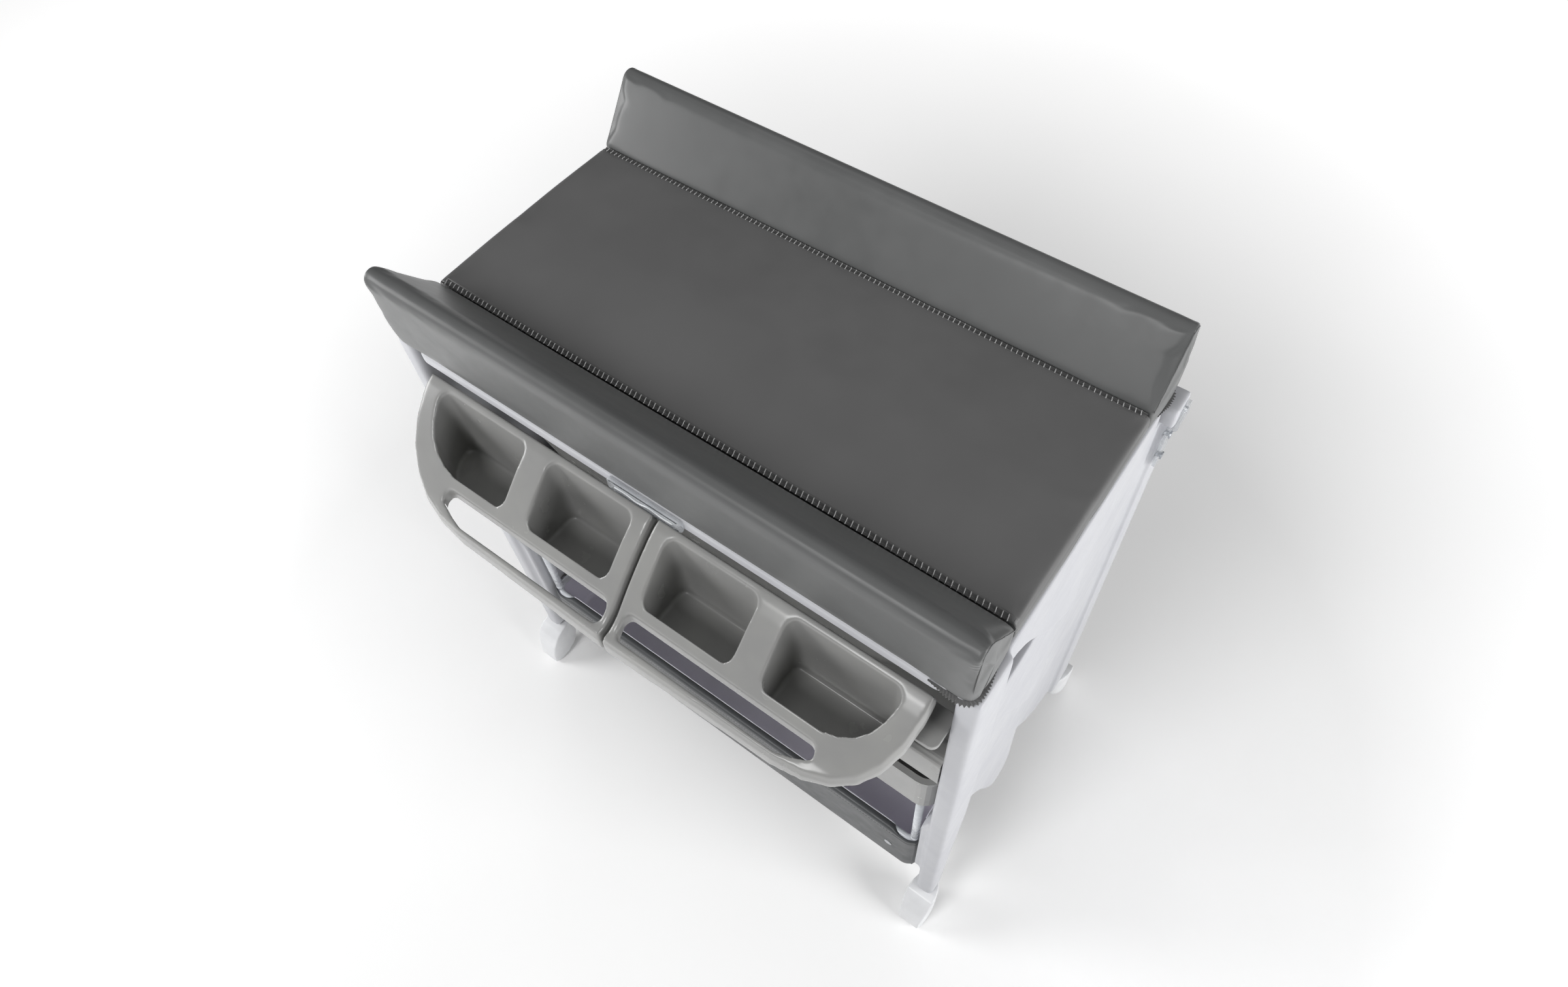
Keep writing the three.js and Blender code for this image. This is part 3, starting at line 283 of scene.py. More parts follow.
def clearPolycarbonate(name="moulded_clear_polycarbonate", dark="#c9cdd2", light="#dde1e5", solid=0.34):
    # clear PC: water-white with sharp highlights; the dark look of its edges and the brightness of its ribs
    # are painted onto copies, as painted shade and a painted highlight
    finish, tree, shader, spot = startFinish(name, {"IOR": 1.58, "Alpha": solid, "Roughness": 0.07})
    tree.links.new(mottle(tree, spot, 30, dark, light), shader.inputs["Base Color"])
    tree.links.new(relief(tree, spot, 40, 0.1, 1.0), shader.inputs["Normal"])
    return finish


def milkyPolypropylene():
    # natural PP: milky white with a soft waxy gloss
    finish, tree, shader, spot = startFinish(
        "moulded_milky_polypropylene", {"IOR": 1.49, "Coat Weight": 0.15, "Coat Roughness": 0.3},
    )
    tree.links.new(mottle(tree, spot, 40, "#e3e4e6", "#ecedef"), shader.inputs["Base Color"])
    tree.links.new(unevenGloss(tree, spot, 12, 0.28, 0.38), shader.inputs["Roughness"])
    tree.links.new(relief(tree, spot, 20, 0.2, 1.0), shader.inputs["Normal"])
    return finish


def softTread():
    # TPE tread: matt grey, scuffed lighter where it rolls
    finish, tree, shader, spot = startFinish("moulded_grey_elastomer", {"IOR": 1.5})
    tree.links.new(mottle(tree, spot, 5, "#6c6e71", "#85878a", 6.0), shader.inputs["Base Color"])
    tree.links.new(unevenGloss(tree, spot, 6, 0.6, 0.8), shader.inputs["Roughness"])
    tree.links.new(relief(tree, spot, 1.2, 0.08, 3.0), shader.inputs["Normal"])
    return finish


def powderCoatedSteel():
    # white powder coat: even gloss with a slight orange peel
    finish, tree, shader, spot = startFinish("powder_coated_steel", {"IOR": 1.5, "Coat Weight": 0.2})
    tree.links.new(mottle(tree, spot, 40, "#d4d8dd", "#dde0e5"), shader.inputs["Base Color"])
    tree.links.new(unevenGloss(tree, spot, 8, 0.22, 0.32), shader.inputs["Roughness"])
    tree.links.new(relief(tree, spot, 6, 0.03, 1.0), shader.inputs["Normal"])
    return finish


def zincPlatedSteel():
    # bright zinc: cool grey metal with a faint drawn grain
    finish, tree, shader, spot = startFinish("zinc_plated_steel", {"Metallic": 1.0})
    tree.links.new(mottle(tree, spot, 4, "#a9acb0", "#bfc2c6"), shader.inputs["Base Color"])
    tree.links.new(unevenGloss(tree, spot, 2, 0.24, 0.4), shader.inputs["Roughness"])
    tree.links.new(relief(tree, spot, 0.6, 0.01, 2.0), shader.inputs["Normal"])
    return finish


def spunPolyester():
    # sewing thread: dull light grey, lifted a little off the vinyl
    finish, tree, shader, spot = startFinish(
        "spun_polyester_thread", {"Roughness": 0.75, "Sheen Weight": 0.2},
    )
    tree.links.new(mottle(tree, spot, 1.5, "#a2a2a2", "#b8b8b8"), shader.inputs["Base Color"])
    tree.links.new(relief(tree, spot, 0.4, 0.1, 2.0), shader.inputs["Normal"])
    return finish


def extrudedPiping():
    # white PVC piping round the basket's mouth: smooth, a little bluish
    finish, tree, shader, spot = startFinish("extruded_white_piping", {"IOR": 1.53})
    tree.links.new(mottle(tree, spot, 20, "#c2c3cc", "#d5d6de"), shader.inputs["Base Color"])
    tree.links.new(unevenGloss(tree, spot, 10, 0.3, 0.42), shader.inputs["Roughness"])
    tree.links.new(relief(tree, spot, 6, 0.1, 1.0), shader.inputs["Normal"])
    return finish


finishes = {
    "white_plastic": blowMouldedPolyethylene(),
    "grey_plastic": mouldedPolypropylene(),
    "clear_plastic": clearPolycarbonate(),
    "castor_plastic": milkyPolypropylene(),
    "wheel_tread": softTread(),
    "white_steel": powderCoatedSteel(),
    "zinc_steel": zincPlatedSteel(),
    "mat_vinyl": calenderedVinyl("calendered_vinyl_pad", "#5e5e5e", "#636363", 0.44),
    "wedge_vinyl": calenderedVinyl("calendered_vinyl_wedge", "#5d5e5e", "#626363", 0.36, 0.32),
    "basket_vinyl": wovenBackedVinyl("coated_polyester_outside", "#454749", "#4b4d4f"),
}
threadFinish = spunPolyester()
pipingFinish = extrudedPiping()
# the band's darker grey is painted shade, standing in for the shadow in its recess between the grooves
bandPaintedShade = calenderedVinyl("welded_band_painted_shade", "#414141", "#464646", 0.5)
# the catch's edge copy is painted dark as painted shade, and its rib copy light as a painted highlight
railPaintedShade = clearPolycarbonate("clear_polycarbonate_edge_painted_shade", "#45484c", "#5a5d61", 0.8)
ribPaintedHighlight = clearPolycarbonate("clear_polycarbonate_rib_painted_highlight", "#e4e7ea", "#f0f2f4", 0.75)
# the lining's own lighter purple-grey is pushed almost to white, as painted light for the shaded inside of
# the basket
basketLiningPaintedLight = wovenBackedVinyl("coated_polyester_lining_painted_light", "#e6e3ee", "#ebe8f3")
slotOf = {part["node"]: part["material_slot"] for part in frame["record"]["subparts"]}
for name, node in nodes.items():
    node.data.materials.clear()
    node.data.materials.append(finishes[slotOf[name]])
print("finishes made")


# Moulded skins: an even mesh over each moulding, its edges rounded as the plastic draws round them

skins = {
    "side_panel_left": {"grid": 2.2, "passes": 8, "keep": 0.35},
    "side_panel_right": {"grid": 2.2, "passes": 8, "keep": 0.35},
    "tray_left": {"grid": 1.5, "passes": 24, "keep": 0.6},
    "tray_right": {"grid": 1.5, "passes": 24, "keep": 0.6},
    "changing_board": {"grid": 2.4, "passes": 4, "keep": 0.25},
    "castor_hood_front_left": {"grid": 1.0, "passes": 20, "keep": 0.5},
    "castor_hood_front_right": {"grid": 1.0, "passes": 20, "keep": 0.5},
    "castor_hood_rear_left": {"grid": 1.0, "passes": 20, "keep": 0.5},
    "castor_hood_rear_right": {"grid": 1.0, "passes": 20, "keep": 0.5},
}


settledPasses = 2  # smoothing after the mesh is thinned


def mouldedSkin(node, look):
    skin = bpy.data.objects.new(node + "_skin", nodes[node].data.copy())
    bpy.context.scene.collection.objects.link(skin)
    remesh = skin.modifiers.new("even", "REMESH")
    remesh.mode = "VOXEL"
    remesh.voxel_size = look["grid"] * mm
    remesh.use_smooth_shade = True
    rounding = skin.modifiers.new("rounding", "SMOOTH")
    rounding.iterations = look["passes"]
    thin = skin.modifiers.new("thin", "DECIMATE")
    thin.ratio = look["keep"]
    skin.modifiers.new("settled", "SMOOTH").iterations = settledPasses
    bake(skin)
    skin.data.materials.clear()
    skin.data.materials.append(finishes[slotOf[node]])
    skin.data.polygons.foreach_set("use_smooth", [True] * len(skin.data.polygons))
    return settle(skin, bodyOf(node), slotOf[node], node)


for node, look in skins.items():
    mouldedSkin(node, look)
print("moulded skins made")


# Nodes that keep their own mesh, shaded round where their facets meet at a small angle

def roundShading(node, degrees=32):
    mesh = nodes[node].data
    mesh.polygons.foreach_set("use_smooth", [True] * len(mesh.polygons))
    mesh.set_sharp_from_angle(angle=math.radians(degrees))
    nodes[node].modifiers.new("even_normals", "WEIGHTED_NORMAL").keep_sharp = True


for node in nodes:
    if node not in skins:
        roundShading(node)

print("frame nodes shaded")


# Mat: a pad and two wedges of foam in coated cloth, welded along two seams

cushionLook = {
    "step": 6.0, "seamStep": 1.2, "seamReach": 12.0,  # spacing of the mesh along and across, mm
    "padRise": 37.7, "padRound": 2.6, "padEndTop": 8.0, "padEndSide": 2.0, "padCrown": 2.2,
    "crestRound": 12.2, "hemRound": 4.0, "footRise": 35.4, "slope": 52.7,
    "footRound": 3.0, "crownRound": 200.0, "crestStep": 2.0, "crestReach": 34.0, "faceStep": 5.0,
    "wedgeEndLow": 15.0, "wedgeEndHigh": 4.0, "wedgeEndTop": 3.6, "wedgeEndRise": 62.0, "swell": 1.6,
    "footIn": 5.0, "pressure": 4.0, "bending": 2.0, "frames": 20, "cap": 1.6, "slack": 0.9,
    "capShares": (0.95, 0.86, 0.74, 0.6, 0.44, 0.27, 0.1),  # rings that close an end, towards its middle
}
seamLook = {
    "pitch": 6.9, "length": 7.4, "thread": 0.6, "endGap": 13.0, "lift": 0.3,
    "bandWidth": 8.6, "bandDepth": 0.35, "grooveWidth": 0.8, "grooveDepth": 0.7, "lean": 1.6,
    "tuck": 1.6, "tuckReach": 12.0, "fade": 12.0, "welt": 0.6, "weltSteps": 26, "bandStep": 8.0,
    "pucker": 0.55, "puckerPitch": 6.5, "puckerReach": 11.0, "puckerFall": 42.0,
}
hemLook = {
    "tooth": 3.5, "width": 5.0, "valleyShare": 0.42, "overlap": 1.6,
    "thickness": 0.9, "droop": 1.2, "run": 46.0, "corner": 15.0,
}


def filleted(corners, steps=7):
    # closed outline through corners (y, z, radius), each rounded by an arc
    points = []
    for i, (y, z, radius) in enumerate(corners):
        here = Vector((y, z))
        back = (Vector(corners[i - 1][:2]) - here)
        ahead = (Vector(corners[(i + 1) % len(corners)][:2]) - here)
        half = back.angle(ahead) / 2
        reach = min(radius / math.tan(half), back.length * 0.49, ahead.length * 0.49)
        arc = reach * math.tan(half)
        middle = here + (back.normalized() + ahead.normalized()).normalized() * (arc / math.sin(half))
        start = here + back.normalized() * reach - middle
        turn = start.angle_signed(here + ahead.normalized() * reach - middle)
        for step in range(steps + 1):
            angle = -turn * step / steps
            points.append(middle + Vector((
                start.x * math.cos(angle) - start.y * math.sin(angle),
                start.x * math.sin(angle) + start.y * math.cos(angle),
            )))
    return points


def spaced(points, stepAt):
    # points along a closed outline, as far apart as stepAt says at each place
    ring = points + points[:1]
    placed, travelled, due = [], 0.0, 0.0
    for a, b in zip(ring, ring[1:]):
        run = (b - a).length
        while run > 0 and due <= travelled + run:
            spot = a.lerp(b, (due - travelled) / run)
            placed.append(spot)
            due += stepAt(spot)
        travelled += run
    if (placed[-1] - placed[0]).length < stepAt(placed[0]) * 0.5:
        placed.pop()
    return placed


def cushionStations(half, step):
    near = [0.0, 1.0, 2.4, 4.2, 6.6, 9.6, 13.2, 17.6]
    count = round(2 * (half - near[-1]) / step)
    inner = [-half + near[-1] + 2 * (half - near[-1]) * i / count for i in range(1, count)]
    return [gap - half for gap in near] + inner + [half - gap for gap in reversed(near)]


def drawnIn(radius, gap):
    # how far a face has turned in, this far from a rounded end
    short = max(0.0, radius - gap)
    return radius - math.sqrt(max(radius * radius - short * short, 0.0))


def cushion(name, outline, half, sideRadius, topRadius, finish):
    # rings of the outline along the cushion, its ends rounded and closed by rings drawn to the middle
    low = Vector((min(p.x for p in outline), min(p.y for p in outline)))
    high = Vector((max(p.x for p in outline), max(p.y for p in outline)))
    middle, reach = (low + high) / 2, (high - low) / 2
    rings = []
    for x in cushionStations(half, cushionLook["step"]):
        gap = half - abs(x)
        ring = []
        for p in outline:
            away = p - middle
            across = drawnIn(sideRadius(p), gap) + cushionLook["slack"]
            above = drawnIn(topRadius, gap) + cushionLook["slack"]
            ring.append((
                x, middle.x + away.x * (1 - across / reach.x), middle.y + away.y * (1 - above / reach.y),
            ))
        rings.append(ring)
    centre = sum(outline, Vector((0, 0))) / len(outline)
    ends = []
    for end, ring in ((-1, rings[0]), (1, rings[-1])):
        capRings = []
        for share in cushionLook["capShares"]:
            out = end * cushionLook["swell"] * (1 - share * share)
            capRings.append([
                (x + out, centre.x + (y - centre.x) * share, centre.y + (z - centre.y) * share)
                for x, y, z in ring
            ])
        ends.append(capRings)
    rings = list(reversed(ends[0])) + rings + ends[1]
    count = len(outline)
    points, faces = loft([[place(*p) for p in ring] for ring in rings], capped=False)
    for end, first in ((-1, 0), (1, len(points) - count)):
        tip = sum((points[first + i] for i in range(count)), Vector()) / count
        points.append(tip)
        for i in range(count):
            pair = (first + i, first + (i + 1) % count)
            faces.append((len(points) - 1, *(pair if end > 0 else reversed(pair))))
    return meshPiece(name, points, faces, finish)


def puff(pieces, cap):
    # cloth blown up a little from inside, each point held to within cap millimetres of its cut
    cuts = [[v.co.copy() for v in piece.data.vertices] for piece in pieces]
    for piece in pieces:
        cloth = piece.modifiers.new("cover", "CLOTH")
        cloth.settings.quality = 4
        cloth.settings.mass = 0.3
        cloth.settings.bending_stiffness = cushionLook["bending"]
        cloth.settings.use_pressure = True
        cloth.settings.uniform_pressure_force = cushionLook["pressure"]
        cloth.settings.effector_weights.gravity = 0.0
        cloth.collision_settings.use_collision = False
    for step in range(1, cushionLook["frames"] + 1):
        bpy.context.scene.frame_set(step)
    for piece, cut in zip(pieces, cuts):
        bake(piece)
        for vertex, start in zip(piece.data.vertices, cut):
            move = vertex.co - start
            if move.length > cap * mm:
                vertex.co = start + move.normalized() * cap * mm
    bpy.context.scene.frame_set(1)


def refine(piece, levels=1):
    finer = piece.modifiers.new("finer", "SUBSURF")
    finer.levels = finer.render_levels = levels
    bake(piece)


def bump(distance, width):
    # 1 at the middle of a groove, falling smoothly to 0 at its edges
    share = min(1.0, abs(distance) / width)
    return (1 - share * share) ** 2


def makeMat():
    look = cushionLook
    padLow, padHigh = extent("mat_pad")
    half = padHigh.x
    seam = padHigh.y
    top = padLow.z + look["padRise"]

    def stepAt(spot):
        near = abs(abs(spot.x) - seam) < look["seamReach"] and spot.y > padLow.z + look["footRise"] * 0.8
        return look["seamStep"] if near else look["step"]

    padOutline = spaced(filleted([
        (-seam, padLow.z, look["footRound"]), (seam, padLow.z, look["footRound"]),
        (seam, top, look["padRound"]), (0, top + look["padCrown"], look["crownRound"]),
        (-seam, top, look["padRound"]),
    ]), stepAt)
    pad = cushion(
        "mat_pad_cover", padOutline, half, lambda spot: look["padEndSide"], look["padEndTop"],
        finishes["mat_vinyl"],
    )
    wedges = []
    for name, side in (("front_wedge", -1), ("back_wedge", 1)):
        low, high = extent(name)
        inner, outer = (high.y, low.y) if side < 0 else (low.y, high.y)
        width = abs(outer - inner)
        apex = low.z + look["footRise"] + width * math.tan(math.radians(look["slope"]))

        def sideRadius(spot):
            if abs(spot.x - outer) > 6:
                return look["wedgeEndHigh"]
            fall = max(0.0, 1 - (spot.y - low.z) / look["wedgeEndRise"])
            return look["wedgeEndHigh"] + (look["wedgeEndLow"] - look["wedgeEndHigh"]) * fall * fall

        foot = outer - math.copysign(look["footIn"], outer)
        corners = [
            (inner, low.z, 2), (inner, low.z + look["footRise"], 4),
            (outer, apex, look["crestRound"]), (foot, low.z, look["hemRound"]),
        ]
        outline = spaced(
            filleted(corners if side < 0 else corners[::-1]),
            lambda spot: look["crestStep"] if spot.y > high.z - look["crestReach"] else look["faceStep"],
        )
        wedges.append(cushion(
            name + "_cover", outline, half, sideRadius, look["wedgeEndTop"], finishes["wedge_vinyl"],
        ))
    pieces = [pad] + wedges
    puff(pieces, look["cap"])
    for piece in pieces:
        refine(piece)
    return pieces


def puckered(x, y, z, half, crestZ, outerY):
    # small gathers where the end panel is sewn to the crest
    look = seamLook
    gap = half - abs(x)
    if x < 0 or gap > look["puckerReach"] or z < crestZ - look["puckerFall"]:
        return x, y, z
    along = math.hypot(y - outerY, crestZ - z)
    drift = 1.7 * noise.noise(Vector((along * 0.2, x, 1)))
    wave = math.sin(2 * math.pi * along / look["puckerPitch"] + drift)
    fade = (1 - gap / look["puckerReach"]) * min(1.0, (z - crestZ + look["puckerFall"]) / look["fade"])
    rise = look["pucker"] * wave * fade
    return x, y + rise * (1 if y > 0 else -1) * 0.7, z + rise * 0.7


def seatMat(pad, wedges):
    # flat on the board, clear of each other at the seams, with the welded band sunk along both
    look = seamLook
    padLow, padHigh = extent("mat_pad")
    seam, half = padHigh.y, padHigh.x
    for piece, node in zip((pad, *wedges), ("mat_pad", "front_wedge", "back_wedge")):
        low, high = extent(node)
        outerY = low.y if high.y < 0 else high.y
        for vertex in piece.data.vertices:
            x, y, z = unplace(vertex.co)
            z = max(z, padLow.z)
            if piece is pad:
                y = max(-seam, min(seam, y))
                edge = seam - abs(y)
                if z > padLow.z + 25:
                    sink = look["bandDepth"] * (1.0 if edge < look["bandWidth"] - 1 else 0.0)
                    for line in (1.0, look["bandWidth"]):
                        sink += look["grooveDepth"] * bump(edge - line, look["grooveWidth"])
                    corner = Vector((half - abs(x), edge)).length
                    tuck = look["tuck"] * bump(corner, look["tuckReach"])
                    z -= sink * min(1.0, (half - abs(x)) / look["fade"]) + tuck
            else:
                away = seam + 0.3
                y = min(y, -away) if y < 0 else max(y, away)
                x, y, z = puckered(x, y, z, half, high.z, outerY)
            vertex.co = place(x, y, z)


def surfaceOf(pieces):
    # one tree of triangles to drop points on
    points, faces = [], []
    for piece in pieces:
        start = len(points)
        points += [v.co.copy() for v in piece.data.vertices]
        faces += [tuple(start + i for i in polygon.vertices) for polygon in piece.data.polygons]
    return BVHTree.FromPolygons(points, faces)


def dropped(tree, x, y, lift):
    # the point on the surface under (x, y), lifted off it a little
    high = place(x, y, 1100)
    hit = tree.ray_cast(high, Vector((0, 0, -1)))[0] or tree.find_nearest(place(x, y, 920))[0]
    return Vector((high.x, high.y, hit.z + lift * mm))


def weldedBand(tree, side):
    # the flattened strip under the stitches, coloured darker than the cover as painted shade for the recess
    # it lies in
    look = seamLook
    padLow, padHigh = extent("mat_pad")
    half = padHigh.x - look["endGap"] * 0.5
    count = round(2 * half / look["bandStep"])
    across = (0.9, 1.3, 3.2, 5.2, 7.2, look["bandWidth"] - 0.6, look["bandWidth"] - 0.2)
    points = []
    for i in range(count + 1):
        for j, inset in enumerate(across):
            lift = -0.3 if j in (0, len(across) - 1) else 0.18
            points.append(dropped(tree, -half + 2 * half * i / count, side * (padHigh.y - inset), lift))
    faces = []
    wide = len(across)
    for i in range(count):
        for j in range(wide - 1):
            a = i * wide + j
            face = (a, a + wide, a + wide + 1, a + 1)
            faces.append(face if side > 0 else face[::-1])
    return points, faces


def ladderStitches(tree, side):
    # threads laid across the band, one beside the other, each sunk into the cover at both ends
    look = seamLook
    padLow, padHigh = extent("mat_pad")
    run = 2 * (padHigh.x - look["endGap"])
    count = round(run / look["pitch"])
    points, faces = [], []
    for i in range(count + 1):
        middle = -run / 2 + run * i / count + 0.5 * noise.noise(Vector((i * 0.7, side, 3)))
        lean = look["lean"] * (1 + 0.4 * noise.noise(Vector((i * 0.31, side, 9))))
        path = []
        for share in (0.0, 0.12, 0.35, 0.65, 0.88, 1.0):
            inset = 0.8 + share * look["length"]
            lift = -0.5 if share in (0.0, 1.0) else look["lift"]
            y = side * (padHigh.y - inset)
            path.append(dropped(tree, middle + lean * (share - 0.5) * side, y, lift))
        rings = tubeRings(path, look["thread"] * mm, 7)
        start = len(points)
        more, moreFaces = loft(rings)
        points += more
        faces += [tuple(start + k for k in face) for face in moreFaces]
    name = "front_seam_stitches" if side < 0 else "back_seam_stitches"
    return meshPiece(name, points, faces, threadFinish)


def endSeam(tree, end, side):
    # the seam that closes a wedge's end panel: a fine raised welt from the pad's corner up to the crest
    low, high = extent("front_wedge" if side < 0 else "back_wedge")
    inner, outer = (high.y, low.y) if side < 0 else (low.y, high.y)
    x = end * (high.x - 1.6)
    path = []
    steps = seamLook["weltSteps"]
    for step in range(steps + 1):
        y = inner + (outer - inner) * (0.02 + 0.93 * step / steps)
        path.append(dropped(tree, x + end * 0.5 * noise.noise(Vector((step * 0.6, end, side))), y, 0.15))
    return loft(tubeRings(path, seamLook["welt"] * mm, 8))


def pinkedHem(end, side):
    # the cover's trimmed edge: a zigzag strip that follows the wedge's bottom corner and hangs a little
    look = hemLook
    low, high = extent("front_wedge" if side < 0 else "back_wedge")
    outer = low.y if side < 0 else high.y
    cornerX, cornerY = high.x - look["corner"], abs(outer) - cushionLook["footIn"] - look["corner"]
    straight = look["run"] - look["corner"] * math.pi / 4
    length = 2 * straight + look["corner"] * math.pi / 2
    count = 2 * round(length / look["tooth"])
    points, faces = [], []
    for i in range(count + 1):
        along = length * i / count
        if along < straight:
            spot, out = Vector((cornerX - straight + along, cornerY + look["corner"])), Vector((0, 1))
        elif along > length - straight:
            past = along - length + straight
            spot, out = Vector((cornerX + look["corner"], cornerY - past)), Vector((1, 0))
        else:
            angle = math.pi / 2 - (along - straight) / look["corner"]
            out = Vector((math.cos(angle), math.sin(angle)))
            spot = Vector((cornerX, cornerY)) + out * look["corner"]
        fade = min(1.0, 4 * i / count, 4 * (1 - i / count))
        tooth = look["width"] * fade * (1.0 if i % 2 else look["valleyShare"])
        for reach, fall in ((-look["overlap"], 0.0), (tooth, look["droop"] * fade)):
            tip = spot + out * reach
            for lift in (0.0, look["thickness"]):
                points.append(place(end * tip.x, side * tip.y, low.z + 0.2 - fall + lift))
    for i in range(count):
        a, b = 4 * i, 4 * (i + 1)
        for p, q in ((0, 1), (1, 3), (3, 2), (2, 0)):
            faces.append((a + p, a + q, b + q, b + p))
    faces += [(0, 2, 3, 1), (4 * count, 4 * count + 1, 4 * count + 3, 4 * count + 2)]
    return points, faces


def gathered(name, parts, finish, smooth=True):
    # several closed shapes in one piece
    points, faces = [], []
    for more, moreFaces in parts:
        start = len(points)
        points += more
        faces += [tuple(start + k for k in face) for face in moreFaces]
    return meshPiece(name, points, faces, finish, smooth)


def dressMat():
    pad, front, back = makeMat()
    seatMat(pad, (front, back))
    tree = surfaceOf((pad, front, back))
    for piece, node in ((pad, "mat_pad"), (front, "front_wedge"), (back, "back_wedge")):
        settle(piece, bodyOf(node), slotOf[node], node)
    # the cover is closed at its right end, where each wedge has a sewn seam and a trimmed hem
    sides = (-1, 1)
    seams = gathered("wedge_end_seams", [endSeam(tree, 1, side) for side in sides], finishes["wedge_vinyl"])
    hems = gathered("wedge_hems", [pinkedHem(1, side) for side in sides], finishes["mat_vinyl"], False)
    # the welded bands carry painted shade along both seams
    bands = gathered("welded_bands_painted_shade", [weldedBand(tree, side) for side in sides], bandPaintedShade)
    for piece in (seams, hems, bands, *(ladderStitches(tree, side) for side in sides)):
        settle(piece, bodyOf("mat_pad"), "mat_vinyl")


dressMat()
print("mat made")


# Basket: one cloth box hung over the wire ring, its hem open at the corners where the posts come down

basketLook = {
    "step": 7.0, "corner": 24.0, "cornerSteps": 22, "belly": 6.0,
    "hemReach": 14.5, "hemDrop": 14.0, "notch": 26.0, "notchEase": 16.0, "lip": 2.2,
    "rollRadius": 6.6, "thickness": 1.3, "seamZ": 14.5, "seamDepth": 0.9, "seamHalf": 1.6,
    "stitch": 3.4, "stitchPitch": 5.2, "thread": 0.35, "piping": 1.1,
    "wave": 1.4, "waveSize": 95.0, "creaseDepth": 1.1, "creaseWidth": 5.0,
    "welt": 1.3, "weltHalf": 2.4, "wallRings": 18, "floorWave": 0.6, "floorWaveSize": 110,
    "creases": ((-0.62, 62.0), (0.35, 40.0)),  # slope and half length of the pulls beside each snap
    "floorShares": (0.03, 0.12, 0.25, 0.4, 0.55, 0.7, 0.82, 0.92, 0.975),
}


def boxOutline(halfX, halfY, corner, step, cornerSteps):
    # points round a rounded rectangle: place, way out, and distance to the nearest corner's middle
    marks = []
    for sx, sy, alongX in ((1, 1, False), (-1, 1, True), (-1, -1, False), (1, -1, True)):
        turn = math.atan2(sy, sx) - math.pi / 4
        for i in range(cornerSteps + 1):
            angle = turn + math.pi / 2 * i / cornerSteps
            out = Vector((math.cos(angle), math.sin(angle)))
            spot = Vector((sx * (halfX - corner), sy * (halfY - corner))) + out * corner
            marks.append((spot, out, abs(i / cornerSteps - 0.5) * corner * math.pi / 2))
        run = 2 * ((halfY if alongX else halfX) - corner)
        count = round(run / step)
        ahead = Vector((-out.y, out.x))
        for i in range(1, count):
            along = run * i / count
            marks.append((spot + ahead * along, out, corner * math.pi / 4 + min(along, run - along)))
    return marks


